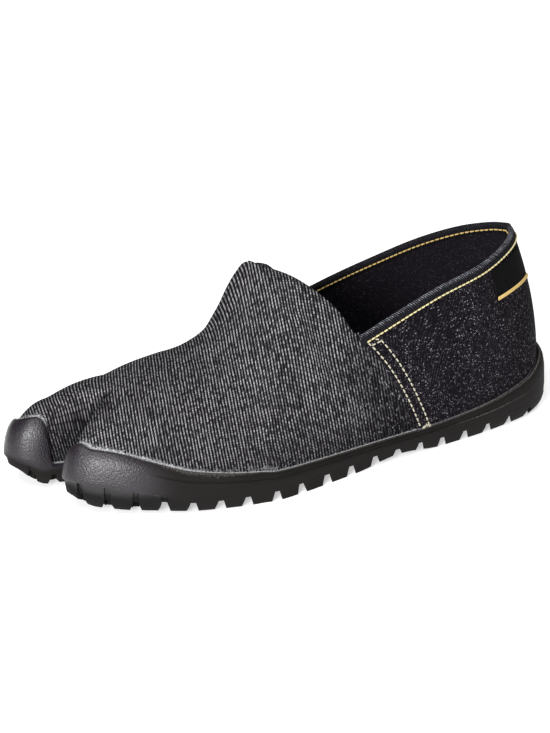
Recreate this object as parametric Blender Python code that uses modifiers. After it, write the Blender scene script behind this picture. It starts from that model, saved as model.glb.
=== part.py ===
import bpy
import bmesh
import numpy as np

# Split-toe slip-on shoe for the left foot, metres, toe toward +X, outer side toward +Y, up +Z.
# Tables are in millimetres from the back of the heel, then moved to the middle of the shoe's box.

for old in list(bpy.data.objects):
    bpy.data.objects.remove(old, do_unlink=True)

MM = 0.001

# main sizes
UPPER_WALL = 2.0
QUARTER_LAP = 0.8
HEM_DEPTH = 4.2
HEM_STEP = 0.5
FIT_GAP = 0.35
INSOLE_THICK = 3.0
INSOLE_CLEAR = 0.7
LABEL_THICK = 1.0
LABEL_HEIGHT = 15.5
LABEL_FROM = 0.175
LABEL_TO = 0.385
LABEL_BELOW_HEM = 1.4

# side seam: top station at the collar corner, lean back toward the foot, width of the step
SEAM_STATION = 0.80
SEAM_LEAN = 0.155
SEAM_FADE_BACK = 0.45
SEAM_STEP = 0.003
CAP_EDGE_TO = 4.2

# underside: flat heel and ball, raised arch, toe spring that is less on the big toe's side
SPRING_FROM = 180.0
SPRING_RISE_SMALL = 0.00060
SPRING_RISE_BIG = 0.00034
SPRING_ACROSS_BIG = -17.0
SPRING_ACROSS_SMALL = -3.0
HEEL_ROLL_FROM = 14.0
HEEL_ROLL_RISE = 0.016
ARCH_FROM = 76.0
ARCH_TO = 132.0
ARCH_RISE = 2.6
TIP_ROLL_SMALL = 254.0
TIP_ROLL_BIG = 260.0
TIP_ROLL_RISE = 0.05
CLEFT_ACROSS = -10.5

# gaps between the lugs: first gap at the small toes, counted round the edge from the heel's back,
# then groups of gaps toward the heel as count and pitch
LUG_FIRST = 292.2
LUG_GROUPS = ((6, 13.03), (5, 14.9), (3, 13.5), (4, 14.7))
LUG_TOE_TIPS = (305.0, 365.5, 376.5)
LUG_GAP_FOOT = 5.6
LUG_GAP_TOP = 2.4
LUG_HIGH = 4.6
LUG_LEFT_ABOVE = 1.3
LUG_INWARD = 14.0
LUG_INWARD_TOES = 2.5
LUG_TOES_FROM = 262.0
LUG_OUTWARD = 8.0
GROOVE_ALONG = 0.524
GROOVE_ACROSS = 0.852
LUG_BELOW = 2.0

# toe lugs stand back under a shelf of the toe caps, with a slot above each gap
TOE_STEP = 0.9
SLOT_DEEP = 1.1
SLOT_WIDE = 3.0
SLOT_OUTWARD = 3.0
SHELF_DROP = 0.4
# station, height of the shelf above the feather line
SHELF = (
    (0.00, -0.4), (2.00, -0.4), (2.45, 2.0), (2.85, 4.0), (3.10, 4.8), (3.50, 4.6), (3.80, 3.0),
    (4.20, -0.4), (6.80, -0.4), (7.10, -0.2), (7.36, 1.0), (7.60, 1.6), (7.90, 2.0), (8.30, 2.0),
    (8.80, -0.4), (11.0, -0.4),
)
# bevel of the lugs: part of the height at which it starts, share of it reached there
TUCK_PART = 0.42
TUCK_SHARE = 0.25
# station, how far the lugs' feet stand in from the wall above
FOOT_TUCK = (
    (0.00, 4.0), (0.12, 3.8), (0.25, 3.0), (0.45, 1.6), (0.70, 0.3), (1.00, -0.9), (1.30, -0.4),
    (1.70, 1.2), (2.20, 2.2), (3.00, 2.6), (3.35, 3.2), (3.70, 3.8), (4.00, 2.2), (4.40, 0.8),
    (5.50, 0.4), (6.70, 0.6), (7.00, 1.4), (7.30, 3.2), (7.60, 4.2), (7.90, 3.6), (8.30, 2.8),
    (9.00, 2.0), (9.50, 0.8), (10.0, 0.0), (10.3, 0.3), (10.55, 1.6), (10.75, 3.0), (10.88, 3.8), (11.0, 4.0),
)

# one row per section round the feather line: heel, outer side, small toes, cleft, big toe, inner side
# s station, along, across, feather height, rubber top height, rubber wall, bulge, arc in degrees, box
SECTIONS = (
    (0.00, 3.6, 0.0, 7.0, 29.0, 4.6, 1.0, 24, 1.00),
    (0.12, 7.0, 14.5, 7.0, 26.6, 4.6, 1.1, 24, 1.00),
    (0.25, 19.0, 24.5, 7.0, 20.4, 4.4, 1.6, 25, 1.00),
    (0.40, 42.0, 30.5, 7.0, 14.9, 3.6, 1.8, 28, 1.00),
    (0.60, 80.0, 34.5, 7.0, 11.3, 3.2, 2.0, 34, 1.00),
    (0.80, 121.0, 38.0, 7.0, 10.6, 3.2, 2.0, 50, 1.00),
    (0.90, 140.0, 41.0, 7.0, 11.0, 3.2, 1.6, 72, 1.00),
    (1.00, 157.0, 43.8, 7.0, 11.6, 3.2, 1.2, 90, 1.00),
    (1.50, 186.0, 45.9, 7.0, 14.2, 3.2, 1.2, 90, 0.95),
    (2.00, 214.0, 40.9, 7.2, 18.6, 3.2, 1.0, 90, 0.86),
    (2.50, 232.0, 34.2, 8.1, 24.2, 3.2, 0.8, 90, 0.80),
    (3.00, 247.0, 26.5, 9.4, 28.2, 3.0, 0.4, 90, 0.80),
    (3.35, 258.5, 17.5, 10.9, 29.4, 2.8, 0.2, 90, 0.80),
    (3.70, 262.5, 8.5, 11.5, 29.6, 2.6, 0.0, 90, 0.80),
    (4.00, 257.0, 1.0, 10.8, 18.0, 2.2, 0.0, 90, 0.80),
    (4.50, 245.5, -4.6, 9.1, 10.6, 1.6, 1.8, 90, 0.78),
    (5.00, 237.0, -6.7, 8.7, 10.2, 1.2, 1.4, 90, 0.80),
    (5.25, 233.9, -7.9, 8.5, 10.2, 1.2, 0.6, 90, 0.80),
    (5.50, 232.8, -10.5, 8.5, 10.2, 1.2, 0.2, 90, 0.80),
    (5.75, 233.9, -13.1, 8.5, 10.2, 1.2, 0.6, 90, 0.80),
    (6.00, 237.0, -14.3, 8.7, 10.2, 1.2, 1.4, 90, 0.80),
    (6.50, 246.5, -15.6, 9.3, 10.6, 1.6, 1.6, 90, 0.80),
    (6.70, 252.6, -16.5, 9.9, 11.3, 1.75, 1.3, 90, 0.80),
    (6.80, 255.7, -16.9, 10.2, 11.5, 1.87, 1.05, 90, 0.80),
    (6.86, 257.5, -17.1, 10.4, 11.8, 1.98, 0.88, 90, 0.80),
    (6.90, 258.6, -17.2, 10.6, 13.4, 2.08, 0.76, 90, 0.81),
    (6.94, 259.7, -17.35, 10.8, 24.5, 2.18, 0.63, 90, 0.82),
    (6.98, 260.85, -17.55, 10.95, 28.9, 2.26, 0.5, 90, 0.83),
    (7.05, 262.8, -17.9, 11.35, 31.6, 2.37, 0.26, 90, 0.84),
    (7.15, 265.5, -18.8, 11.9, 32.7, 2.5, 0.0, 90, 0.86),
    (7.37, 270.5, -22.6, 12.8, 32.4, 2.6, 0.0, 90, 0.86),
    (7.60, 272.5, -29.0, 13.0, 30.4, 2.8, 0.0, 90, 0.86),
    (7.85, 268.0, -37.0, 12.3, 28.0, 3.0, 0.0, 90, 0.86),
    (8.20, 257.0, -42.0, 10.2, 23.5, 3.2, 0.4, 90, 0.80),
    (8.60, 238.0, -45.3, 8.3, 17.8, 3.2, 0.9, 90, 0.67),
    (9.00, 216.0, -46.6, 7.2, 14.8, 3.2, 1.0, 90, 0.67),
    (9.40, 191.5, -44.3, 7.0, 12.6, 3.2, 1.4, 90, 0.78),
    (9.55, 183.0, -42.8, 7.0, 12.4, 3.2, 0.8, 90, 0.92),
    (9.70, 174.5, -41.0, 7.2, 12.1, 3.2, -0.6, 90, 1.03),
    (9.85, 165.5, -38.8, 7.4, 11.8, 3.2, 0.0, 90, 0.95),
    (10.0, 157.0, -36.5, 7.6, 11.6, 3.2, 0.8, 90, 0.96),
    (10.1, 140.0, -33.0, 8.0, 11.6, 3.2, 1.0, 72, 1.00),
    (10.2, 121.0, -30.5, 8.2, 11.8, 3.2, 1.2, 50, 1.00),
    (10.4, 80.0, -29.5, 7.4, 11.6, 3.2, 1.6, 34, 1.00),
    (10.6, 42.0, -29.5, 7.0, 14.9, 3.6, 1.8, 28, 1.00),
    (10.75, 19.0, -24.0, 7.0, 20.4, 4.4, 1.6, 25, 1.00),
    (10.88, 7.0, -14.5, 7.0, 26.6, 4.6, 1.1, 24, 1.00),
)
ROUND = 11.0

# top edge of the quarters: station, along, across outer and inner side, height outer and inner side
COLLAR_BACK = (
    (0.00, 15.0, 0.0, 0.0, 89.2, 89.2),
    (0.12, 19.5, 8.7, -8.7, 88.9, 88.1),
    (0.25, 29.5, 18.0, -19.0, 87.2, 85.2),
    (0.40, 48.0, 26.0, -27.0, 82.8, 80.0),
    (0.60, 80.0, 29.5, -30.0, 75.6, 72.4),
    (0.80, 122.0, 30.5, -30.5, 61.0, 61.9),
)
# throat edge of the vamp, same columns
COLLAR_THROAT = (
    (0.80, 122.0, 30.5, -30.5, 61.0, 61.9),
    (0.87, 131.0, 23.5, -24.5, 77.0, 76.6),
    (0.94, 145.0, 10.0, -15.0, 89.8, 89.6),
    (1.00, 157.0, -6.0, -6.0, 94.0, 94.0),
)
# top line of the vamp from the throat peak to the fork of the toes: part, along, across, height
RIDGE = (
    (0.00, 157.0, -6.0, 94.0),
    (0.20, 165.5, -6.0, 76.0),
    (0.40, 176.5, -6.5, 61.8),
    (0.60, 192.0, -7.0, 54.6),
    (0.80, 211.0, -8.5, 50.8),
    (1.00, 230.0, -10.5, 45.6),
)
# top lines of the small toes and of the big toe from that fork, same columns
SMALL_TOP = (
    (0.00, 230.0, -10.5, 45.6),
    (0.50, 236.0, 0.5, 41.8),
    (1.00, 241.5, 10.5, 37.8),
)
BIG_TOP = (
    (0.00, 230.0, -10.5, 45.6),
    (0.50, 241.0, -21.0, 43.2),
    (1.00, 252.0, -29.0, 39.2),
)

# rows up the upper's wall, as parts of the way from feather line to top edge
DOME_ROWS = (0, 0.1, 0.2, 0.3, 0.4, 0.5, 0.6, 0.7, 0.79, 0.87, 0.935, 0.98, 1)
QUARTER_ROWS = (0, 0.1, 0.2, 0.3, 0.4, 0.5, 0.6, 0.7, 0.78, 0.85)

# walls between the toes: stations from the crotch within which the last row under the top is lowered
FORK_REACH = 0.6
FORK_FADE = 1.2
FORK_LAST_ROW = 0.55

# rubber wall from its top edge down: part of the way up, share of the wall's thickness
RUBBER_INNER = (0, 0.2, 0.4, 0.6, 0.8, 1.0)
RUBBER_OUTER = ((1.0, 0.55), (0.90, 0.82), (0.62, 0.92))
LEDGE_PART = 0.58
LEDGE_OUT = 0.7


def cubic(x, xs, ys):
    # smooth curve through table rows with slopes taken from both neighbours
    h = np.diff(xs)
    d = np.diff(ys, axis=0) / h[:, None]
    m = np.empty_like(ys)
    m[1:-1] = (d[:-1] * h[1:, None] + d[1:] * h[:-1, None]) / (h[:-1] + h[1:])[:, None]
    m[0] = d[0]
    m[-1] = d[-1]
    i = np.clip(np.searchsorted(xs, x, side="right") - 1, 0, len(xs) - 2)
    w = h[i][:, None]
    u = ((x - xs[i]) / h[i])[:, None]
    a = (1 + 2 * u) * (1 - u) ** 2 * ys[i] + u * (1 - u) ** 2 * w * m[i]
    b = u * u * (3 - 2 * u) * ys[i + 1] + u * u * (u - 1) * w * m[i + 1]
    return a + b


def lookup(rows, x):
    rows = np.array(rows, float)
    return cubic(np.asarray(x, float), rows[:, 0], rows[:, 1:])


def section(s):
    rows = np.array(SECTIONS, float)
    before = rows[-3:].copy()
    before[:, 0] -= ROUND
    after = rows[:3].copy()
    after[:, 0] += ROUND
    return lookup(np.vstack([before, rows, after]), np.mod(s, ROUND))


def top_edge(s):
    # collar edge, ridge or toe top line that a section ends on
    s = np.mod(s, ROUND)
    inner = s > ROUND / 2
    q = np.where(inner, ROUND - s, s)
    out = np.zeros((len(s), 3))
    for k, rows in ((q < SEAM_STATION, COLLAR_BACK), ((q >= SEAM_STATION) & (q < 1), COLLAR_THROAT)):
        if k.any():
            v = lookup(rows, q[k])
            across = np.where(inner[k], v[:, 2], v[:, 1])
            height = np.where(inner[k], v[:, 4], v[:, 3])
            out[k] = np.stack([v[:, 0], across, height], 1)
    vamp = (q >= 1) & (q < 2)
    if vamp.any():
        out[vamp] = lookup(RIDGE, q[vamp] - 1)
    r = np.clip(np.where(q < 3, q - 2, np.where(q < 4, 1.0, 5 - q)), 0, 1)
    for k, rows in (((q >= 2) & ~inner, SMALL_TOP), ((q >= 2) & inner, BIG_TOP)):
        if k.any():
            out[k] = lookup(rows, r[k])
    return out


def toe_slope(s):
    # direction and fall of the toe's top line, so that the toe tip closes smoothly
    s = np.mod(s, ROUND)
    inner = s > ROUND / 2
    small = np.subtract(SMALL_TOP[-1][1:], SMALL_TOP[-2][1:])
    big = np.subtract(BIG_TOP[-1][1:], BIG_TOP[-2][1:])
    e = np.where(inner[:, None], big, small)
    run = np.linalg.norm(e[:, :2], axis=1)
    q = np.where(inner, ROUND - s, s)
    w = np.clip((q - 2.0) / 0.8, 0, 1) * np.clip((5.0 - q) / 0.8, 0, 1)
    return e[:, :2] / run[:, None], e[:, 2] / run * w * w * (3 - 2 * w)


def outward(s):
    d = 1e-3
    along = section(s + d)[:, :2] - section(s - d)[:, :2]
    n = np.stack([-along[:, 1], along[:, 0]], 1)
    return n / np.linalg.norm(n, axis=1)[:, None]


def last_point(s, t):
    # point of the last's skin: an arc from the feather line up to the section's top
    shape = np.shape(s)
    s = np.ravel(s)
    t = np.ravel(t)
    c = section(s)
    foot = c[:, :2]
    arc = np.radians(np.clip(c[:, 6], 10, 90))
    box = np.clip(c[:, 7], 0.6, 1.4)
    top = top_edge(s)
    turn = arc * t
    across = (1 - np.maximum(np.cos(turn), 0) ** box) / (1 - np.maximum(np.cos(arc), 0) ** box)
    rise = np.sin(turn) ** box / np.sin(arc) ** box
    xy = foot + (top[:, :2] - foot) * across[:, None]
    xy = xy + outward(s) * (c[:, 5] * np.sin(np.pi * t))[:, None]
    e, slope = toe_slope(s)
    z = c[:, 2] + (top[:, 2] - c[:, 2]) * rise
    z = z + slope * np.sum((xy - top[:, :2]) * e, 1) * t * t * (3 - 2 * t)
    return np.column_stack([xy, z]).reshape(shape + (3,))


def last_normal(s, t):
    d = 1e-4
    t = np.clip(t, d, 1 - d)
    n = np.cross(last_point(s, t + d) - last_point(s, t - d), last_point(s + d, t) - last_point(s - d, t))
    return n / np.linalg.norm(n, axis=-1, keepdims=True)


def leaned(g, t):
    # grid column g to station s: columns lean with the side seam
    q = np.where(g > ROUND / 2, ROUND - g, g)
    u = np.where(q < SEAM_STATION, (q - SEAM_FADE_BACK) / (SEAM_STATION - SEAM_FADE_BACK),
                 (1 - q) / (1 - SEAM_STATION))
    u = np.clip(u, 0, 1)
    lean = SEAM_LEAN * u * u * (3 - 2 * u) * (1 - t)
    return np.where(g > ROUND / 2, g + lean, g - lean)


def is_quarter(g):
    return (g < SEAM_STATION) | (g > ROUND - SEAM_STATION)


def underside(x, y):
    side = np.clip((y - SPRING_ACROSS_BIG) / (SPRING_ACROSS_SMALL - SPRING_ACROSS_BIG), 0, 1)
    rise = SPRING_RISE_BIG + (SPRING_RISE_SMALL - SPRING_RISE_BIG) * side
    z = rise * np.maximum(x - SPRING_FROM, 0) ** 2
    tip = np.where(y > CLEFT_ACROSS, TIP_ROLL_SMALL, TIP_ROLL_BIG)
    z = z + TIP_ROLL_RISE * np.maximum(x - tip, 0) ** 2
    z = z + HEEL_ROLL_RISE * np.maximum(HEEL_ROLL_FROM - x, 0) ** 2
    u = np.clip((x - ARCH_FROM) / (ARCH_TO - ARCH_FROM), 0, 1)
    return z + ARCH_RISE * np.sin(np.pi * u) ** 2


def spread(first, last, count):
    return list(np.linspace(first, last, count + 1)[:-1])


def grid_columns():
    # stations of the grid's columns, the inner side a mirror of the outer side
    seam = [SEAM_STATION - SEAM_STEP, SEAM_STATION + SEAM_STEP]
    side = spread(0, seam[0], 13) + seam[:1] + spread(seam[1], 1, 5)
    side += spread(1, 2, 8) + spread(2, 3, 8)
    tip = spread(3, 4, 8) + spread(4, CAP_EDGE_TO, 3) + spread(CAP_EDGE_TO, 5, 6)
    outer = side + tip + spread(5, 5.5, 3)
    mirrored = [ROUND - g for g in outer[1:]][::-1]
    return np.array(outer + [ROUND / 2] + mirrored)


def wall_length(g):
    t = np.linspace(0, 1, 15)[None, :] * np.ones((len(g), 1))
    p = last_point(leaned(g[:, None] * np.ones((1, 15)), t), t)
    return np.linalg.norm(np.diff(p, axis=1), axis=2).sum(1)


def grid_faces(columns, rows, closed):
    count = columns if closed else columns - 1
    faces = []
    for i in range(count):
        j = (i + 1) % columns
        for k in range(rows - 1):
            faces.append((i * rows + k, j * rows + k, j * rows + k + 1, i * rows + k + 1))
    return faces


def make_object(name, points, faces, collection, material):
    mesh = bpy.data.meshes.new(name)
    mesh.from_pydata([tuple(p) for p in points], [], faces)
    mesh.validate()
    obj = bpy.data.objects.new(name, mesh)
    collection.objects.link(obj)
    if material:
        mesh.materials.append(material)
    return obj


def tidy_mesh(obj, merge):
    bm = bmesh.new()
    bm.from_mesh(obj.data)
    if merge:
        bmesh.ops.remove_doubles(bm, verts=bm.verts, dist=0.00005)
        bmesh.ops.dissolve_degenerate(bm, dist=0.00001, edges=bm.edges)
    big = [f for f in bm.faces if len(f.verts) > 4]
    bmesh.ops.triangulate(bm, faces=big, ngon_method="BEAUTY")
    bmesh.ops.recalc_face_normals(bm, faces=bm.faces)
    bm.to_mesh(obj.data)
    bm.free()


def material(name, colour, rough):
    m = bpy.data.materials.new(name)
    m.use_nodes = True
    node = m.node_tree.nodes["Principled BSDF"]
    node.inputs["Base Color"].default_value = colour + (1.0,)
    node.inputs["Roughness"].default_value = rough
    return m


# upper: one sheet of denim round the last, thicker where the quarter laps the vamp and at the folded hem
G = grid_columns()
LENGTH = wall_length(G)
QUARTER = is_quarter(G)


def upper_rows():
    rows = np.array([DOME_ROWS] * len(G), float)
    away = np.abs(G - ROUND / 2)
    fork = np.clip((FORK_FADE - away) / (FORK_FADE - FORK_REACH), 0, 1)[:, None]
    rows = np.where(rows < 1, rows * (1 - fork + fork * FORK_LAST_ROW / DOME_ROWS[-2]), 1.0)
    hem = 1 - HEM_DEPTH / LENGTH
    step = 1 - (HEM_DEPTH + 0.8) / LENGTH
    low = np.array([QUARTER_ROWS] * len(G), float)
    quarter = np.column_stack([low, step, hem, np.ones(len(G))])
    return np.where(QUARTER[:, None], quarter, rows)


def raised(g, t):
    # how far the upper's outside stands off the last's skin
    lap = np.where(is_quarter(g), QUARTER_LAP, 0.0)
    hem = 1 - (HEM_DEPTH + 0.1) / np.interp(g, G, LENGTH)
    return lap + np.where(is_quarter(g) & (t > hem), HEM_STEP, 0.0)


def outside(g, t, off):
    # a point standing off the upper's own outside
    s = leaned(g, t)
    lift = raised(g, t) + off
    return last_point(s, t) + last_normal(s, t) * lift[..., None]


T_UPPER = upper_rows()
G_UPPER = np.repeat(G[:, None], T_UPPER.shape[1], axis=1)
UPPER_POINTS = last_point(leaned(G_UPPER, T_UPPER), T_UPPER)
LIFT = raised(G_UPPER, T_UPPER)
LAPPED = LIFT > 0
UPPER_POINTS[LAPPED] = outside(G_UPPER[LAPPED], T_UPPER[LAPPED], np.zeros(LAPPED.sum()))

# rubber: floor, inside face, top edge, outside face with its ledge, foot and underside
C = section(leaned(G, np.zeros(len(G))))
FOOT = C[:, :2]
FEATHER = C[:, 2]
WALL = C[:, 4]
OUT = outward(leaned(G, np.zeros(len(G))))
LAP = np.where(QUARTER, QUARTER_LAP, 0.0)


def rubber_top():
    # part of the way up at which the wall reaches the rubber's top height
    low = np.zeros(len(G))
    high = np.full(len(G), 0.9)
    for _ in range(30):
        mid = (low + high) / 2
        s = leaned(G, mid)
        under = last_point(s, mid)[:, 2] < section(s)[:, 3]
        low = np.where(under, mid, low)
        high = np.where(under, high, mid)
    return (low + high) / 2


TOP = rubber_top()
Q = np.where(G > ROUND / 2, ROUND - G, G)
FLANK = np.clip((Q - 0.2) / 0.3, 0, 1) * np.clip((2.7 - Q) / 0.5, 0, 1)


def flat_ring(grow, height):
    xy = FOOT + OUT * (LAP + grow)[:, None]
    return np.column_stack([xy, height])


rings = [flat_ring(np.full(len(G), FIT_GAP), FEATHER - FIT_GAP)]
for part in RUBBER_INNER:
    rings.append(outside(G, TOP * part, np.full(len(G), FIT_GAP)))
for part, share in RUBBER_OUTER:
    rings.append(outside(G, TOP * part, FIT_GAP + WALL * share - LAP))
rings.append(outside(G, TOP * LEDGE_PART, FIT_GAP + WALL * RUBBER_OUTER[2][1] + LEDGE_OUT * FLANK - LAP))
low_wall = FIT_GAP + WALL + LEDGE_OUT * FLANK - LAP
rings.append(outside(G, TOP * 0.25, low_wall))
STATION = leaned(G, np.zeros(len(G)))
SHELF_UP = np.interp(STATION, *np.transpose(SHELF))
TUCK = np.interp(STATION, *np.transpose(FOOT_TUCK))
TOE = np.clip((SHELF_UP + SHELF_DROP) / 2, 0, 1)
rings.append(flat_ring(low_wall, FEATHER + SHELF_UP))
lug_wall = low_wall - TOE_STEP * TOE
rings.append(flat_ring(lug_wall - 0.1 * TUCK, FEATHER + SHELF_UP - SHELF_DROP))
base = flat_ring(lug_wall - TUCK, np.zeros(len(G)))
base[:, 2] = underside(base[:, 0], base[:, 1])
rings.append(flat_ring(lug_wall - TUCK_SHARE * TUCK, base[:, 2] + TUCK_PART * (FEATHER - FIT_GAP - base[:, 2])))
rings.append(base)

SOLE_POINTS = np.stack(rings, 1)
SOLE_ROWS = len(rings)

# insole
INSET = -(UPPER_WALL + INSOLE_CLEAR)
INSOLE_LOW = flat_ring(np.full(len(G), INSET), FEATHER)
INSOLE_TOP = flat_ring(np.full(len(G), INSET), FEATHER + INSOLE_THICK)

# heel label, between two forms of the upper's outside
LABEL_COLUMNS = 11
LABEL_STATIONS = np.linspace(LABEL_FROM, LABEL_TO, LABEL_COLUMNS)
LABEL_LENGTH = np.interp((LABEL_FROM + LABEL_TO) / 2, G, LENGTH)
LABEL_PARTS = 1 - (HEM_DEPTH + LABEL_BELOW_HEM + np.array([LABEL_HEIGHT, LABEL_HEIGHT * 0.66,
                                                         LABEL_HEIGHT * 0.33, 0.0])) / LABEL_LENGTH


def label_sheet(off):
    g = np.repeat(LABEL_STATIONS[:, None], len(LABEL_PARTS), axis=1)
    t = np.repeat(LABEL_PARTS[None, :], LABEL_COLUMNS, axis=0)
    s = leaned(g, t)
    return last_point(s, t) + last_normal(s, t) * (QUARTER_LAP + off)


LABEL_IN = label_sheet(FIT_GAP)
LABEL_OUT = label_sheet(FIT_GAP + LABEL_THICK)

# shift to the middle of the box
EVERY = np.vstack([SOLE_POINTS.reshape(-1, 3), UPPER_POINTS.reshape(-1, 3), LABEL_OUT.reshape(-1, 3)])
LOW = EVERY.min(0)
HIGH = EVERY.max(0)
SHIFT = np.array([(LOW[0] + HIGH[0]) / 2, (LOW[1] + HIGH[1]) / 2, LOW[2]])


def placed(points):
    return (points.reshape(-1, 3) - SHIFT) * MM


parts = bpy.data.collections.new("split toe slip on shoe")
bpy.context.scene.collection.children.link(parts)
cutters = bpy.data.collections.new("cutters")
bpy.context.scene.collection.children.link(cutters)

denim = material("denim", (0.035, 0.036, 0.042), 0.9)
rubber = material("rubber", (0.022, 0.021, 0.021), 0.6)
footbed = material("footbed", (0.03, 0.03, 0.032), 0.9)
patch = material("patch", (0.012, 0.012, 0.013), 0.7)

upper = make_object("upper", placed(UPPER_POINTS), grid_faces(len(G), T_UPPER.shape[1], True), parts, denim)
bm = bmesh.new()
bm.from_mesh(upper.data)
bmesh.ops.remove_doubles(bm, verts=bm.verts, dist=0.00005)
bmesh.ops.dissolve_degenerate(bm, dist=0.00001, edges=bm.edges)
bmesh.ops.recalc_face_normals(bm, faces=bm.faces)
bm.to_mesh(upper.data)
bm.free()
thick = upper.modifiers.new("wall", "SOLIDIFY")
thick.thickness = UPPER_WALL * MM
thick.offset = -1.0
thick.use_even_offset = False
thick.use_quality_normals = True

sole_faces = grid_faces(len(G), SOLE_ROWS, True)
sole_faces.append(tuple(i * SOLE_ROWS for i in range(len(G))))
sole_faces.append(tuple(i * SOLE_ROWS + SOLE_ROWS - 1 for i in range(len(G)))[::-1])
outsole = make_object("outsole", placed(SOLE_POINTS), sole_faces, parts, rubber)
tidy_mesh(outsole, False)

insole_points = np.stack([INSOLE_LOW, INSOLE_TOP], 1)
insole_faces = grid_faces(len(G), 2, True)
insole_faces.append(tuple(i * 2 for i in range(len(G))))
insole_faces.append(tuple(i * 2 + 1 for i in range(len(G)))[::-1])
insole = make_object("insole", placed(insole_points), insole_faces, parts, footbed)
tidy_mesh(insole, True)

rows = len(LABEL_PARTS)
count = LABEL_COLUMNS * rows
label_faces = grid_faces(LABEL_COLUMNS, rows, False)
label_faces += [tuple(k + count for k in f)[::-1] for f in label_faces]
edge = [i * rows for i in range(LABEL_COLUMNS)]
edge += [(LABEL_COLUMNS - 1) * rows + k for k in range(1, rows)]
edge += [i * rows + rows - 1 for i in range(LABEL_COLUMNS - 2, -1, -1)]
edge += [k for k in range(rows - 2, 0, -1)]
for a, b in zip(edge, edge[1:] + edge[:1]):
    label_faces.append((a, b, b + count, a + count))
label_points = np.vstack([LABEL_IN.reshape(-1, 3), LABEL_OUT.reshape(-1, 3)])
label = make_object("heel_label", placed(label_points), label_faces, parts, patch)
tidy_mesh(label, False)

# gaps between the lugs: wedges that run in slantwise from the edge of the sole, and slots above those of the toes
EDGE = FOOT + OUT * (LAP + low_wall)[:, None]
RUN = np.concatenate([[0], np.cumsum(np.linalg.norm(np.diff(EDGE, axis=0), axis=1))])
RUN_ALL = RUN[-1] + np.linalg.norm(EDGE[0] - EDGE[-1])
side_runs = [LUG_FIRST]
for count, pitch in LUG_GROUPS:
    side_runs += [side_runs[-1] - pitch * (k + 1) for k in range(count)]
gap_runs = side_runs + [RUN_ALL - run for run in side_runs] + list(LUG_TOE_TIPS)


def at_run(run, values):
    # value of a ring at a distance round the edge
    column = np.interp(run, RUN, np.arange(len(G)))
    values = np.reshape(values, (len(G), -1))
    return np.array([np.interp(column, np.arange(len(G)), values[:, k]) for k in range(values.shape[1])])


def wedge(low_out, low_in, high_out, high_in, n, half_low, half_high):
    # eight corners, low and high, each with its outer and inner pair
    side = np.array([-n[1], n[0]])
    corners = []
    for p, half in ((low_out, half_low), (high_out, half_high), (low_in, half_low), (high_in, half_high)):
        for sign in (-1, 1):
            corners.append((p[0] + side[0] * half * sign, p[1] + side[1] * half * sign, p[2]))
    return corners


WEDGE_FACES = ((0, 1, 3, 2), (4, 6, 7, 5), (0, 4, 5, 1), (2, 3, 7, 6), (0, 2, 6, 4), (1, 5, 7, 3))
gap_points = []
slot_points = []
for run in gap_runs:
    foot = at_run(run, base)
    n = at_run(run, OUT)
    n = n / np.linalg.norm(n)
    feather = at_run(run, FEATHER)[0]
    toes = LUG_TOES_FROM < run < RUN_ALL - LUG_TOES_FROM
    inward = LUG_INWARD_TOES if toes else LUG_INWARD
    high = min(LUG_HIGH, feather - FIT_GAP - LUG_LEFT_ABOVE - foot[2])
    way = n if toes else np.array([GROOVE_ALONG, np.copysign(GROOVE_ACROSS, n[1])])
    outer = foot[:2] + way * LUG_OUTWARD
    inner = foot[:2] - way * inward
    inner_floor = min(underside(inner[0], foot[1]), foot[2])
    gap_points += wedge((*outer, foot[2] - LUG_BELOW), (*inner, inner_floor - LUG_BELOW),
                        (*outer, foot[2] + high), (*inner, inner_floor + high), n, LUG_GAP_FOOT / 2, LUG_GAP_TOP / 2)
    if at_run(run, TOE)[0] > 0.9:
        shelf = feather + at_run(run, SHELF_UP)[0] - SHELF_DROP / 2
        face = at_run(run, EDGE)
        top_in = face - n * (TOE_STEP + SLOT_DEEP)
        low_in = foot[:2] - n * SLOT_DEEP
        slot_points += wedge((*(foot[:2] + n * LUG_OUTWARD), foot[2] - LUG_BELOW), (*low_in, foot[2] - LUG_BELOW),
                             (*(face + n * SLOT_OUTWARD), shelf), (*top_in, shelf), n, SLOT_WIDE / 2, SLOT_WIDE / 2)


def cutter(name, points):
    faces = [tuple(start + k for k in f) for start in range(0, len(points), 8) for f in WEDGE_FACES]
    obj = make_object(name, placed(np.array(points)), faces, cutters, None)
    tidy_mesh(obj, False)
    obj.hide_render = True
    obj.display_type = "WIRE"
    cut = outsole.modifiers.new(name, "BOOLEAN")
    cut.operation = "DIFFERENCE"
    cut.solver = "EXACT"
    cut.object = obj


cutter("lug gaps", gap_points)
cutter("toe slots", slot_points)
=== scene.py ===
import math
import bpy
import bmesh
import numpy as np
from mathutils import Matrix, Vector


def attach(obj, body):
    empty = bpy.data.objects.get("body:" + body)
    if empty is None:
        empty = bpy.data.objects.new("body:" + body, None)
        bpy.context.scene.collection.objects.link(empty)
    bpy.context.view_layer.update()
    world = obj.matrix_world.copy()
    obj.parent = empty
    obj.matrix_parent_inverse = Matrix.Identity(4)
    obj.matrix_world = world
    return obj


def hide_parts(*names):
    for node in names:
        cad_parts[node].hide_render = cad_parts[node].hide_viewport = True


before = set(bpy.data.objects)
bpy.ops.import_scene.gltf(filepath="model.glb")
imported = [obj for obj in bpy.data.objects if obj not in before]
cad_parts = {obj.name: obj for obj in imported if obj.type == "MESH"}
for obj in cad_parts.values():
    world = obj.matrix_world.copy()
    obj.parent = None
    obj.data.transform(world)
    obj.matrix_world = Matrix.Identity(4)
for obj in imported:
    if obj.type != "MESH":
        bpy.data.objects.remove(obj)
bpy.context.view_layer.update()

# Split-toe denim slip-on for the left foot. Tables are in mm from the back of the heel:
# x toward the toe, y toward the outer side, z up. placed() moves them into the frame.
mm = 0.001
rng = np.random.default_rng(11)

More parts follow.
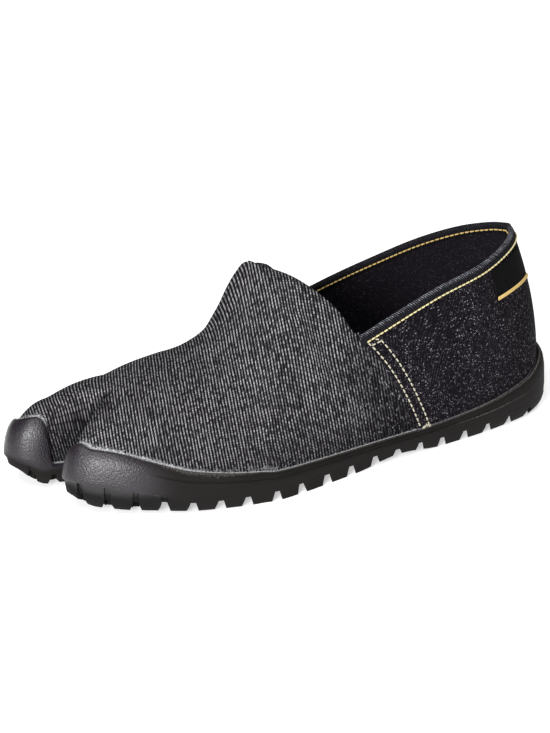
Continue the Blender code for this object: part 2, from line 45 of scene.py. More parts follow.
lastShape = {
    "boxMiddle": (136.9549, 0.1888, 0.0),
    "round": 11.0,
    "seamStation": 0.80,
    "seamLean": 0.155,
    "seamFadeBack": 0.45,
    "seamStep": 0.003,
    "quarterLap": 0.8,
    "fitGap": 0.35,
}
around = lastShape["round"]
seamStation = lastShape["seamStation"]
fitGap = lastShape["fitGap"]

# station, along, across, feather height, rubber top, rubber wall, bulge, arc in degrees, box
sectionTable = (
    (0.00, 3.6, 0.0, 7.0, 29.0, 4.6, 1.0, 24, 1.00),
    (0.12, 7.0, 14.5, 7.0, 26.6, 4.6, 1.1, 24, 1.00),
    (0.25, 19.0, 24.5, 7.0, 20.4, 4.4, 1.6, 25, 1.00),
    (0.40, 42.0, 30.5, 7.0, 14.9, 3.6, 1.8, 28, 1.00),
    (0.60, 80.0, 34.5, 7.0, 11.3, 3.2, 2.0, 34, 1.00),
    (0.80, 121.0, 38.0, 7.0, 10.6, 3.2, 2.0, 50, 1.00),
    (0.90, 140.0, 41.0, 7.0, 11.0, 3.2, 1.6, 72, 1.00),
    (1.00, 157.0, 43.8, 7.0, 11.6, 3.2, 1.2, 90, 1.00),
    (1.50, 186.0, 45.9, 7.0, 14.2, 3.2, 1.2, 90, 0.95),
    (2.00, 214.0, 40.9, 7.2, 18.6, 3.2, 1.0, 90, 0.86),
    (2.50, 232.0, 34.2, 8.1, 24.2, 3.2, 0.8, 90, 0.80),
    (3.00, 247.0, 26.5, 9.4, 28.2, 3.0, 0.4, 90, 0.80),
    (3.35, 258.5, 17.5, 10.9, 29.4, 2.8, 0.2, 90, 0.80),
    (3.70, 262.5, 8.5, 11.5, 29.6, 2.6, 0.0, 90, 0.80),
    (4.00, 257.0, 1.0, 10.8, 18.0, 2.2, 0.0, 90, 0.80),
    (4.50, 245.5, -4.6, 9.1, 10.6, 1.6, 1.8, 90, 0.78),
    (5.00, 237.0, -6.7, 8.7, 10.2, 1.2, 1.4, 90, 0.80),
    (5.25, 233.9, -7.9, 8.5, 10.2, 1.2, 0.6, 90, 0.80),
    (5.50, 232.8, -10.5, 8.5, 10.2, 1.2, 0.2, 90, 0.80),
    (5.75, 233.9, -13.1, 8.5, 10.2, 1.2, 0.6, 90, 0.80),
    (6.00, 237.0, -14.3, 8.7, 10.2, 1.2, 1.4, 90, 0.80),
    (6.50, 246.5, -15.6, 9.3, 10.6, 1.6, 1.6, 90, 0.80),
    (6.70, 252.6, -16.5, 9.9, 11.3, 1.75, 1.3, 90, 0.80),
    (6.80, 255.7, -16.9, 10.2, 11.5, 1.87, 1.05, 90, 0.80),
    (6.86, 257.5, -17.1, 10.4, 11.8, 1.98, 0.88, 90, 0.80),
    (6.90, 258.6, -17.2, 10.6, 13.4, 2.08, 0.76, 90, 0.81),
    (6.94, 259.7, -17.35, 10.8, 24.5, 2.18, 0.63, 90, 0.82),
    (6.98, 260.85, -17.55, 10.95, 28.9, 2.26, 0.5, 90, 0.83),
    (7.05, 262.8, -17.9, 11.35, 31.6, 2.37, 0.26, 90, 0.84),
    (7.15, 265.5, -18.8, 11.9, 32.7, 2.5, 0.0, 90, 0.86),
    (7.37, 270.5, -22.6, 12.8, 32.4, 2.6, 0.0, 90, 0.86),
    (7.60, 272.5, -29.0, 13.0, 30.4, 2.8, 0.0, 90, 0.86),
    (7.85, 268.0, -37.0, 12.3, 28.0, 3.0, 0.0, 90, 0.86),
    (8.20, 257.0, -42.0, 10.2, 23.5, 3.2, 0.4, 90, 0.80),
    (8.60, 238.0, -45.3, 8.3, 17.8, 3.2, 0.9, 90, 0.67),
    (9.00, 216.0, -46.6, 7.2, 14.8, 3.2, 1.0, 90, 0.67),
    (9.40, 191.5, -44.3, 7.0, 12.6, 3.2, 1.4, 90, 0.78),
    (9.55, 183.0, -42.8, 7.0, 12.4, 3.2, 0.8, 90, 0.92),
    (9.70, 174.5, -41.0, 7.2, 12.1, 3.2, -0.6, 90, 1.03),
    (9.85, 165.5, -38.8, 7.4, 11.8, 3.2, 0.0, 90, 0.95),
    (10.0, 157.0, -36.5, 7.6, 11.6, 3.2, 0.8, 90, 0.96),
    (10.1, 140.0, -33.0, 8.0, 11.6, 3.2, 1.0, 72, 1.00),
    (10.2, 121.0, -30.5, 8.2, 11.8, 3.2, 1.2, 50, 1.00),
    (10.4, 80.0, -29.5, 7.4, 11.6, 3.2, 1.6, 34, 1.00),
    (10.6, 42.0, -29.5, 7.0, 14.9, 3.6, 1.8, 28, 1.00),
    (10.75, 19.0, -24.0, 7.0, 20.4, 4.4, 1.6, 25, 1.00),
    (10.88, 7.0, -14.5, 7.0, 26.6, 4.6, 1.1, 24, 1.00),
)
# top edge: station, along, across outer side, across inner side, height outer side, height inner side
collarBack = (
    (0.00, 15.0, 0.0, 0.0, 89.2, 89.2),
    (0.12, 19.5, 8.7, -8.7, 88.9, 88.1),
    (0.25, 29.5, 18.0, -19.0, 87.2, 85.2),
    (0.40, 48.0, 26.0, -27.0, 82.8, 80.0),
    (0.60, 80.0, 29.5, -30.0, 75.6, 72.4),
    (0.80, 122.0, 30.5, -30.5, 61.0, 61.9),
)
collarThroat = (
    (0.80, 122.0, 30.5, -30.5, 61.0, 61.9),
    (0.87, 131.0, 23.5, -24.5, 77.0, 76.6),
    (0.94, 145.0, 10.0, -15.0, 89.8, 89.6),
    (1.00, 157.0, -6.0, -6.0, 94.0, 94.0),
)
# top lines: part, along, across, height
vampRidge = (
    (0.00, 157.0, -6.0, 94.0),
    (0.20, 165.5, -6.0, 76.0),
    (0.40, 176.5, -6.5, 61.8),
    (0.60, 192.0, -7.0, 54.6),
    (0.80, 211.0, -8.5, 50.8),
    (1.00, 230.0, -10.5, 45.6),
)
smallToeTop = ((0.00, 230.0, -10.5, 45.6), (0.50, 236.0, 0.5, 41.8), (1.00, 241.5, 10.5, 37.8))
bigToeTop = ((0.00, 230.0, -10.5, 45.6), (0.50, 241.0, -21.0, 43.2), (1.00, 252.0, -29.0, 39.2))


def smooth(x):
    # three squares less two cubes of x held to 0 and 1: soft at both ends
    x = np.clip(x, 0, 1)
    return x * x * (3 - 2 * x)


def ramp(x, start, end):
    # 0 at the start, 1 at the end, soft at both
    return smooth((x - start) / (end - start))


def unit(v):
    # each vector divided by its length
    return v / np.maximum(np.linalg.norm(v, axis=-1, keepdims=True), 1e-9)


def bell(x, middle, width):
    # e to minus the square of the distance from the middle, counted in widths
    return np.exp(-((x - middle) / width) ** 2)


def mirrored(s):
    # station on the outer side that matches one on the inner side
    return np.where(s > around / 2, around - s, s)


def cubic(x, xs, ys):
    # smooth curve through table rows, each slope a mean of its two neighbours'
    h = np.diff(xs)
    d = np.diff(ys, axis=0) / h[:, None]
    m = np.empty_like(ys)
    m[1:-1] = (d[:-1] * h[1:, None] + d[1:] * h[:-1, None]) / (h[:-1] + h[1:])[:, None]
    m[0], m[-1] = d[0], d[-1]
    i = np.clip(np.searchsorted(xs, x, side="right") - 1, 0, len(xs) - 2)
    w, u = h[i][:, None], ((x - xs[i]) / h[i])[:, None]
    a = (1 + 2 * u) * (1 - u) ** 2 * ys[i] + u * (1 - u) ** 2 * w * m[i]
    return a + u * u * (3 - 2 * u) * ys[i + 1] + u * u * (u - 1) * w * m[i + 1]


def lookup(rows, x):
    # the curve through a table whose first column is x
    rows = np.array(rows, float)
    return cubic(np.asarray(x, float), rows[:, 0], rows[:, 1:])


def section(s):
    # values of the last at a station; the table is carried on past both ends, so it goes round
    rows = np.array(sectionTable, float)
    turn = np.array([around] + [0.0] * 8)
    return lookup(np.vstack([rows[-3:] - turn, rows, rows[:3] + turn]), np.mod(s, around))


def topEdge(s):
    # collar edge, ridge or toe top line that a section ends on
    s = np.mod(s, around)
    inner = s > around / 2
    q = mirrored(s)
    out = np.zeros((len(s), 3))
    for k, rows in ((q < seamStation, collarBack), ((q >= seamStation) & (q < 1), collarThroat)):
        if k.any():
            v = lookup(rows, q[k])
            across = np.where(inner[k], v[:, 2], v[:, 1])
            height = np.where(inner[k], v[:, 4], v[:, 3])
            out[k] = np.stack([v[:, 0], across, height], 1)
    vamp = (q >= 1) & (q < 2)
    if vamp.any():
        out[vamp] = lookup(vampRidge, q[vamp] - 1)
    r = np.clip(np.where(q < 3, q - 2, np.where(q < 4, 1.0, 5 - q)), 0, 1)
    for k, rows in (((q >= 2) & ~inner, smallToeTop), ((q >= 2) & inner, bigToeTop)):
        if k.any():
            out[k] = lookup(rows, r[k])
    return out


def toeSlope(s):
    # direction and fall of the toe's top line, so that the tip closes smoothly
    s = np.mod(s, around)
    inner = s > around / 2
    small = np.subtract(smallToeTop[-1][1:], smallToeTop[-2][1:])
    big = np.subtract(bigToeTop[-1][1:], bigToeTop[-2][1:])
    e = np.where(inner[:, None], big, small)
    run = np.linalg.norm(e[:, :2], axis=1)
    q = mirrored(s)
    w = np.clip((q - 2.0) / 0.8, 0, 1) * np.clip((5.0 - q) / 0.8, 0, 1)
    return e[:, :2] / run[:, None], e[:, 2] / run * smooth(w)


def outward(s):
    # level direction square to a small step along the footprint
    along = section(s + 1e-3)[:, :2] - section(s - 1e-3)[:, :2]
    return unit(np.stack([-along[:, 1], along[:, 0]], 1))


def lastPoint(s, t):
    # an arc of each section from the feather line (t 0) up to its top edge (t 1): in by 1 less a cosine,
    # up by a sine, both to the power of box, with a half wave of bulge outward
    shape = np.shape(s)
    s, t = np.ravel(s), np.ravel(t)
    c = section(s)
    arc = np.radians(np.clip(c[:, 6], 10, 90))
    box = np.clip(c[:, 7], 0.6, 1.4)
    top = topEdge(s)
    turn = arc * t
    across = (1 - np.maximum(np.cos(turn), 0) ** box) / (1 - np.maximum(np.cos(arc), 0) ** box)
    rise = np.sin(turn) ** box / np.sin(arc) ** box
    xy = c[:, :2] + (top[:, :2] - c[:, :2]) * across[:, None]
    xy = xy + outward(s) * (c[:, 5] * np.sin(np.pi * t))[:, None]
    e, slope = toeSlope(s)
    z = c[:, 2] + (top[:, 2] - c[:, 2]) * rise
    z = z + slope * np.sum((xy - top[:, :2]) * e, 1) * t * t * (3 - 2 * t)
    return np.column_stack([xy, z]).reshape(shape + (3,))


def lastNormal(s, t):
    # cross product of a small step up the last and one round it
    d = 1e-4
    t = np.clip(t, d, 1 - d)
    upWay = lastPoint(s, t + d) - lastPoint(s, t - d)
    roundWay = lastPoint(s + d, t) - lastPoint(s - d, t)
    return unit(np.cross(upWay, roundWay))


def leaned(g, t):
    # grid column to station: columns lean with the side seam
    back = lastShape["seamFadeBack"]
    q = mirrored(g)
    u = np.where(q < seamStation, (q - back) / (seamStation - back), (1 - q) / (1 - seamStation))
    lean = lastShape["seamLean"] * smooth(u) * (1 - t)
    return np.where(g > around / 2, g + lean, g - lean)


def isQuarter(g):
    # behind the side seam, on either side
    return (g < seamStation) | (g > around - seamStation)


# underside in mm: where toe spring, roll of the tips (outer toes, big toe), roll of the heel and arch lie
floorShape = {
    "springFrom": 180.0, "spring": 0.00034, "springOuter": 0.00026, "outerFrom": -17.0, "outerWide": 14.0,
    "forkAt": -10.5, "tipFrom": (254.0, 260.0), "tipRoll": 0.05, "heelTo": 14.0, "heelRoll": 0.016,
    "archFrom": 76.0, "archLong": 56.0, "archHigh": 2.6,
}


def underside(x, y):
    # flat heel and ball, raised arch, toe spring that is less on the big toe's side, rolled heel and toe tips
    f = floorShape
    spring = f["spring"] + f["springOuter"] * np.clip((y - f["outerFrom"]) / f["outerWide"], 0, 1)
    z = spring * np.maximum(x - f["springFrom"], 0) ** 2
    z = z + f["tipRoll"] * np.maximum(x - np.where(y > f["forkAt"], *f["tipFrom"]), 0) ** 2
    z = z + f["heelRoll"] * np.maximum(f["heelTo"] - x, 0) ** 2
    return z + f["archHigh"] * np.sin(np.pi * np.clip((x - f["archFrom"]) / f["archLong"], 0, 1)) ** 2


def spread(first, last, count):
    # even steps from the first, the last left out
    return list(np.linspace(first, last, count + 1)[:-1])


def gridColumns(fine):
    # stations of the columns: each stretch has its own count, the inner side is a mirror of the outer
    step = lastShape["seamStep"]
    seam = [seamStation - step, seamStation + step]
    outer = spread(0, seam[0], 13 * fine) + seam[:1] + spread(seam[1], 1, 5 * fine)
    for first, last, count in ((1, 2, 8), (2, 3, 8), (3, 4, 8), (4, 5, 8), (5, 5.5, 3)):
        outer += spread(first, last, count * fine)
    return np.array(outer + [around / 2] + [around - g for g in outer[1:]][::-1])


def rubberTop(g):
    # part of the way up at which the wall reaches the rubber's top height, by halving
    low, high = np.zeros(len(g)), np.full(len(g), 0.9)
    for _ in range(30):
        mid = (low + high) / 2
        s = leaned(g, mid)
        under = lastPoint(s, mid)[:, 2] < section(s)[:, 3]
        low, high = np.where(under, mid, low), np.where(under, high, mid)
    return (low + high) / 2


# relief of the cloth in mm: height and waves of the slow swell, heights it fades in over, axis it pushes from
reliefLook = {
    "swell": 0.22, "along": (0.105, 0.06), "across": (0.09, 0.075),
    "fadeUp": (14.0, 28.0), "axis": (-6.0, 22.0),
}
# creases of the cloth: from, to, depth (a ridge is negative), width, all in mm
creaseTable = (
    ((244.0, -11.5, 40.0), (225.0, -9.5, 47.0), 1.6, 4.5),
    ((236.0, -6.0, 42.0), (224.0, 2.0, 46.5), 0.7, 5.0),
    ((148.0, 22.0, 82.0), (141.0, 35.0, 56.0), 1.5, 6.5),
    ((153.0, 27.0, 72.0), (150.0, 38.0, 50.0), -0.9, 5.5),
    ((206.0, -26.0, 45.0), (207.0, 4.0, 49.0), 0.9, 6.0),
    ((197.0, -22.0, 50.0), (196.0, 14.0, 52.0), -0.7, 6.0),
    ((176.0, 8.0, 63.0), (168.0, 34.0, 48.0), 0.9, 7.5),
    ((160.0, 36.0, 44.0), (176.0, 44.0, 24.0), 0.7, 8.0),
    ((153.5, -9.6, 96.0), (156.0, -10.0, 84.0), 1.7, 1.7),
    ((147.0, -13.5, 95.0), (149.0, -14.5, 84.0), 1.1, 5.0),
    ((104.0, 33.0, 52.0), (88.0, 36.0, 26.0), 0.8, 9.0),
    ((60.0, 30.0, 66.0), (66.0, 33.0, 30.0), 0.6, 9.0),
    ((112.0, -32.0, 50.0), (96.0, -32.0, 24.0), 0.8, 9.0),
    ((150.0, -28.0, 70.0), (158.0, -36.0, 40.0), 0.9, 7.0),
    ((186.0, -30.0, 48.0), (178.0, -42.0, 26.0), 0.8, 8.0),
)


def relief(p):
    # slow swell, then soft troughs and ridges: depth times a bell of the distance to each line
    x, y, z = p[..., 0], p[..., 1], p[..., 2]
    alongWave, acrossWave = reliefLook["along"], reliefLook["across"]
    out = reliefLook["swell"] * np.sin(x * alongWave[0] + z * alongWave[1])
    out = out * np.sin(y * acrossWave[0] + z * acrossWave[1])
    for start, end, depth, width in creaseTable:
        a, b = np.array(start), np.array(end)
        along = np.clip(((p - a) @ (b - a)) / ((b - a) @ (b - a)), 0, 1)
        away = np.linalg.norm(p - a - along[..., None] * (b - a), axis=-1)
        out = out - depth * bell(away, 0.0, width)
    return out * ramp(z, *reliefLook["fadeUp"])


def clothPoint(g, t, off=0.0):
    # the upper's outside: last skin, lap of the quarter, then the creases
    s = leaned(g, t)
    lift = np.where(isQuarter(g), lastShape["quarterLap"], 0.0) + off
    p = lastPoint(s, t) + lastNormal(s, t) * lift[..., None]
    axisY, axisZ = reliefLook["axis"]
    away = unit(np.stack([np.zeros_like(p[..., 0]), p[..., 1] - axisY, p[..., 2] - axisZ], -1))
    return p + away * relief(p)[..., None]


def placed(points):
    # mm on the last to metres in the frame
    return (np.reshape(points, (-1, 3)) - np.array(lastShape["boxMiddle"])) * mm


def gridFaces(columns, rows, roundColumns=False, roundRows=False):
    # one face between each two neighbouring columns and rows, carried round where asked
    i = np.arange(columns if roundColumns else columns - 1)
    k = np.arange(rows if roundRows else rows - 1)
    i, k = np.meshgrid(i, k, indexing="ij")
    j, m = (i + 1) % columns, (k + 1) % rows
    return np.stack([i * rows + k, j * rows + k, j * rows + m, i * rows + m], -1).reshape(-1, 4)


def tubeFaces(steps, ring):
    # a closed profile carried along a path, both ends closed
    ends = [list(range(ring)), [(steps - 1) * ring + k for k in range(ring)]]
    return gridFaces(steps, ring, roundRows=True).tolist() + ends


def loftFaces(columns, rows):
    # rings round the foot, the first and the last closed
    ends = [[i * rows + k for i in range(columns)] for k in (0, rows - 1)]
    return gridFaces(columns, rows, roundColumns=True).tolist() + ends


def runOf(p):
    # length along a path up to each of its points
    return np.concatenate([[0], np.cumsum(np.linalg.norm(np.diff(p, axis=0), axis=1))])


def makePiece(name, points, faces, materials, uv=None, values=None, faceMaterial=None, merge=0.0, sharp=None):
    # mesh from point and face arrays, uv per point or per corner in mm, values per point
    mesh = bpy.data.meshes.new(name)
    mesh.from_pydata(placed(points).tolist(), [], [list(f) for f in faces])
    for m in materials:
        mesh.materials.append(m)
    if faceMaterial is not None:
        mesh.polygons.foreach_set("material_index", np.asarray(faceMaterial, np.int32))
    if uv is not None:
        layer = mesh.uv_layers.new(name="clothPlace")
        corner = np.empty(len(mesh.loops), np.int32)
        mesh.loops.foreach_get("vertex_index", corner)
        flat = uv if len(uv) == len(corner) else np.asarray(uv)[corner]
        layer.data.foreach_set("uv", np.asarray(flat, np.float32).ravel())
    for key, value in (values or {}).items():
        attribute = mesh.attributes.new(key, "FLOAT", "POINT")
        attribute.data.foreach_set("value", np.ravel(value).astype(np.float32))
    bm = bmesh.new()
    bm.from_mesh(mesh)
    if merge:
        bmesh.ops.remove_doubles(bm, verts=bm.verts, dist=merge)
        bmesh.ops.dissolve_degenerate(bm, dist=merge * 0.2, edges=bm.edges)
    bmesh.ops.triangulate(bm, faces=[f for f in bm.faces if len(f.verts) > 4])
    bmesh.ops.recalc_face_normals(bm, faces=bm.faces)
    bm.to_mesh(mesh)
    bm.free()
    mesh.polygons.foreach_set("use_smooth", np.ones(len(mesh.polygons), bool))
    if sharp:
        mesh.set_sharp_from_angle(angle=math.radians(sharp))
    obj = bpy.data.objects.new(name, mesh)
    bpy.context.scene.collection.objects.link(obj)
    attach(obj, "root")
    return obj


# node helpers
def plug(tree, socket, value):
    # link a socket, or set a plain value
    if isinstance(value, bpy.types.NodeSocket):
        tree.links.new(value, socket)
    else:
        socket.default_value = value


def addNode(tree, kind, inputs=(), **settings):
    # a node with its settings made and its inputs plugged
    node = tree.nodes.new(kind)
    for key, value in settings.items():
        setattr(node, key, value)
    for key, value in inputs:
        plug(tree, node.inputs[key], value)
    return node


def calc(tree, operation, a, b=0.0):
    return addNode(tree, "ShaderNodeMath", ((0, a), (1, b)), operation=operation).outputs[0]


def plus(tree, a, b):
    return calc(tree, "ADD", a, b)


def minus(tree, a, b):
    return calc(tree, "SUBTRACT", a, b)


def times(tree, a, b):
    return calc(tree, "MULTIPLY", a, b)


def offMiddle(tree, value):
    # 0 at the middle of each whole step, 1 at its ends
    return calc(tree, "ABSOLUTE", minus(tree, times(tree, calc(tree, "FRACT", value), 2.0), 1.0))


def remap(tree, value, low, high, toLow=0.0, toHigh=1.0):
    # low to high becomes toLow to toHigh, with soft ends
    pairs = (("Value", value), ("From Min", low), ("From Max", high), ("To Min", toLow), ("To Max", toHigh))
    return addNode(tree, "ShaderNodeMapRange", pairs, interpolation_type="SMOOTHSTEP").outputs[0]


def blend(tree, factor, a, b, mode="MIX"):
    # from colour a to colour b by the factor
    node = addNode(tree, "ShaderNodeMix", data_type="RGBA", blend_type=mode)
    for place, value in ((0, factor), (6, a), (7, b)):
        plug(tree, node.inputs[place], value + (1.0,) if isinstance(value, tuple) else value)
    return node.outputs[2]


def noise(tree, place, scale, detail=2.0, rough=0.5):
    # soft noise from 0 to 1
    pairs = (("Vector", place), ("Scale", scale), ("Detail", detail), ("Roughness", rough))
    return addNode(tree, "ShaderNodeTexNoise", pairs).outputs[0]


def newGroup(name, numbers, outputs):
    # shader group with a place, named numbers with their defaults, and value outputs
    group = bpy.data.node_groups.new(name, "ShaderNodeTree")
    group.interface.new_socket("place", in_out="INPUT", socket_type="NodeSocketVector")
    for label, value in numbers.items():
        socket = group.interface.new_socket(label, in_out="INPUT", socket_type="NodeSocketFloat")
        socket.default_value = value
    for label in outputs:
        group.interface.new_socket(label, in_out="OUTPUT", socket_type="NodeSocketFloat")
    return group, group.nodes.new("NodeGroupInput").outputs, group.nodes.new("NodeGroupOutput").inputs


def useGroup(tree, group, **inputs):
    # a group placed in a material with its own values
    node = tree.nodes.new("ShaderNodeGroup")
    node.node_tree = group
    for key, value in inputs.items():
        plug(tree, node.inputs[key], value)
    return node.outputs


def newMaterial(name):
    mat = bpy.data.materials.new(name)
    mat.use_nodes = True
    return mat, mat.node_tree, mat.node_tree.nodes["Principled BSDF"]


def objectPlace(tree):
    # place on the object in m
    return addNode(tree, "ShaderNodeTexCoord").outputs["Object"]


def clothPlace(tree):
    # place on the cloth in mm
    return addNode(tree, "ShaderNodeUVMap", uv_map="clothPlace").outputs[0]


def valueOf(tree, name):
    # a value that the mesh carries for each point
    return addNode(tree, "ShaderNodeAttribute", attribute_name=name).outputs["Fac"]


def dress(tree, bsdf, colour, rough, gloss=0.5):
    plug(tree, bsdf.inputs["Base Color"], colour)
    plug(tree, bsdf.inputs["Roughness"], rough)
    bsdf.inputs["Specular IOR Level"].default_value = gloss


def setBump(tree, bsdf, height, strength, distance):
    pairs = (("Strength", strength), ("Distance", distance), ("Height", height))
    tree.links.new(addNode(tree, "ShaderNodeBump", pairs).outputs[0], bsdf.inputs["Normal"])


# twill: pale warp floats in beads along lines of equal u, each with its own paleness, and loose specks of yarn
twillGroup, gin, gout = newGroup("twillWeave", {
    "pitch": 1.9, "bead": 1.0, "sway": 1.2, "scatter": 0.2, "cover": 0.5, "fleck": 1.35, "sparse": 2.6,
}, ("thread", "height"))
twillLook = {
    "swayScale": 0.11, "beadShift": 0.37, "beadEnds": 4.0, "wearNoise": (0.28, 3.0, 0.6), "wear": 0.6,
    "toneSpan": (0.15, 1.75), "lineEdge": (0.40, 0.95), "fleckFrom": 0.45, "fleckEdge": (0.60, 0.15),
    "threadHigh": 0.6, "lineHigh": 0.4,
}
t = twillGroup
uvParts = addNode(t, "ShaderNodeSeparateXYZ", ((0, gin["place"]),)).outputs
swayed = times(t, minus(t, noise(t, gin["place"], twillLook["swayScale"]), 0.5), gin["sway"])
lineAt = calc(t, "DIVIDE", plus(t, uvParts[0], swayed), gin["pitch"])
lineNumber = calc(t, "FLOOR", lineAt)
lineShape = minus(t, 1.0, offMiddle(t, lineAt))
beadAt = plus(t, calc(t, "DIVIDE", uvParts[1], gin["bead"]), times(t, lineNumber, twillLook["beadShift"]))
beadNumber = addNode(t, "ShaderNodeCombineXYZ", ((0, lineNumber), (1, calc(t, "FLOOR", beadAt)))).outputs[0]
beadPick = addNode(t, "ShaderNodeTexWhiteNoise", (("Vector", beadNumber),), noise_dimensions="2D")
beadShape = minus(t, 1.0, calc(t, "POWER", offMiddle(t, beadAt), twillLook["beadEnds"]))
wear = times(t, minus(t, noise(t, gin["place"], *twillLook["wearNoise"]), 0.5), twillLook["wear"])
toneEnds = [minus(t, end, gin["cover"]) for end in twillLook["toneSpan"]]
beadTone = remap(t, plus(t, beadPick.outputs["Value"], wear), *toneEnds)
lines = times(t, times(t, remap(t, lineShape, *twillLook["lineEdge"]), beadShape), beadTone)
flecks = addNode(t, "ShaderNodeTexVoronoi", (("Vector", gin["place"]), ("Scale", gin["fleck"])))
fleckPick = addNode(t, "ShaderNodeSeparateColor", ((0, flecks.outputs["Color"]),)).outputs[0]
fleckTone = calc(t, "POWER", remap(t, fleckPick, twillLook["fleckFrom"], 1.0), gin["sparse"])
specks = times(t, remap(t, flecks.outputs["Distance"], *twillLook["fleckEdge"]), fleckTone)
thread = plus(t, times(t, lines, minus(t, 1.0, gin["scatter"])), times(t, specks, gin["scatter"]))
plug(t, gout["thread"], thread)
relieved = plus(t, times(t, thread, twillLook["threadHigh"]), times(t, lineShape, twillLook["lineHigh"]))
plug(t, gout["height"], relieved)

# dust or fray that clings within reach of an edge and breaks up away from it
edgeGroup, gin, gout = newGroup("edgeDust", {"gap": 0.0, "reach": 2.0, "grain": 900.0}, ("mask",))
edgeLook = {"breakUp": 1.8, "noise": (3.0, 0.65), "maskEdge": (0.35, 0.95)}
t = edgeGroup
broken = times(t, minus(t, noise(t, gin["place"], gin["grain"], *edgeLook["noise"]), 0.5), edgeLook["breakUp"])
near = minus(t, 1.0, calc(t, "DIVIDE", calc(t, "ABSOLUTE", gin["gap"]), gin["reach"]))
plug(t, gout["mask"], remap(t, plus(t, near, broken), *edgeLook["maskEdge"]))

print("node groups ready")

# cloths: a word in place of a number names an attribute of the mesh; bump is strength and depth in m
vampLook = {
    "ground": (0.0034, 0.0029, 0.0040), "thread": (0.485, 0.475, 0.50),
    "weave": {"pitch": 1.60, "bead": 1.15, "sway": 0.8, "scatter": "scatter", "cover": 0.50},
    "fade": "fade", "drift": (45.0, 2.0), "driftTo": (0.3, 0.7, 0.84, 1.12),
    "frayReach": "frayReach", "frayShare": 1.0, "rough": 0.9, "gloss": 0.06, "bump": (0.8, 0.00035),
}
quarterLook = {
    "ground": (0.0056, 0.0043, 0.0064), "thread": (0.42, 0.405, 0.445),
    "weave": {"pitch": 0.95, "bead": 0.9, "sway": 1.0, "scatter": 0.86, "cover": 0.10,
              "fleck": 1.9, "sparse": 9.5},
    "drift": (30.0, 3.0), "driftTo": (0.35, 0.68, 0.62, 1.15),
    "frayReach": 0.9, "frayShare": 0.45, "rough": 0.92, "gloss": 0.05, "bump": (0.7, 0.00025),
}
liningLook = {
    "ground": (0.0100, 0.0080, 0.0112), "thread": (0.075, 0.070, 0.084),
    "weave": {"pitch": 1.0, "bead": 0.9, "sway": 0.8, "scatter": 0.80, "cover": 0.20,
              "fleck": 1.75, "sparse": 3.6},
    "rough": 0.95, "gloss": 0.05, "bump": (0.6, 0.0002),
}
# hem cloth: its pale threads follow the painted highlight along the crest
hemClothLook = {
    "ground": (0.0065, 0.0060, 0.0080), "thread": (0.47, 0.49, 0.55),
    "weave": {"pitch": 1.15, "bead": 1.1, "sway": 0.4, "scatter": 0.15, "cover": 0.50},
    "fade": "rubbed", "rough": 0.9, "gloss": 0.06, "bump": (0.8, 0.0003),
}
plyLook = {
    "weave": {"pitch": 0.42, "bead": 3.0, "sway": 0.0, "scatter": 0.0, "cover": 0.8},
    "rough": 0.55, "gloss": 0.5, "bump": (0.5, 0.0001),
}
frayCloth = {"colour": (0.44, 0.44, 0.45), "grain": 1300.0}


def wovenMaterial(name, look):
    # twill of two colours, with painted light and shade, drift of tone and fray along the rubber where the look
    # has them
    mat, tree, bsdf = newMaterial(name)

    def given(value):
        return valueOf(tree, value) if isinstance(value, str) else value

    settings = {key: given(value) for key, value in look["weave"].items()}
    weave = useGroup(tree, twillGroup, place=clothPlace(tree), **settings)
    pale = weave["thread"]
    # painted light and shade: the pale threads scaled by a value per point
    if "fade" in look:
        pale = times(tree, pale, given(look["fade"]))
    if "drift" in look:
        drift = noise(tree, objectPlace(tree), *look["drift"])
        pale = times(tree, pale, remap(tree, drift, *look["driftTo"]))
    colour = blend(tree, pale, look["ground"], look["thread"])
    if "frayReach" in look:
        fray = useGroup(tree, edgeGroup, place=objectPlace(tree), gap=valueOf(tree, "rubberGap"),
                        reach=given(look["frayReach"]), grain=frayCloth["grain"])
        colour = blend(tree, times(tree, fray["mask"], look["frayShare"]), colour, frayCloth["colour"])
    dress(tree, bsdf, colour, look["rough"], look["gloss"])
    setBump(tree, bsdf, weave["height"], *look["bump"])
    return mat


vampDenim = wovenMaterial("vampDenim", vampLook)
quarterDenim = wovenMaterial("quarterDenim", quarterLook)
liningCloth = wovenMaterial("liningCloth", liningLook)
hemDenim = wovenMaterial("hemDenim", hemClothLook)
# sewing threads: slanted plies along each stitch
paleThread, creamThread, goldThread = [
    wovenMaterial(name, dict(plyLook, thread=light, ground=dark))
    for name, light, dark in (
        ("paleThread", (0.88, 0.80, 0.48), (0.64, 0.55, 0.26)),
        ("creamThread", (0.66, 0.635, 0.51), (0.42, 0.395, 0.29)),
        ("goldThread", (0.80, 0.60, 0.24), (0.53, 0.36, 0.11)),
    )
]

# lie of the vamp's twill in mm; fork, toeAlong, toeAcross and overAlong are from and to
vampTwill = {
    "ridge": -6.0, "fork": (212.0, 242.0), "axisHigh": 8.0, "radius": (24.0, 90.0),
    "slant": (0.50, 0.20), "toeAlong": (224.0, 248.0), "toeAcross": (-11.0, -25.0), "toeAt": (-24.0, 36.0),
    "toeTurn": (0.12, 0.22), "overAlong": (186.0, 170.0), "overAcross": -7.0, "overTurn": 0.12,
}


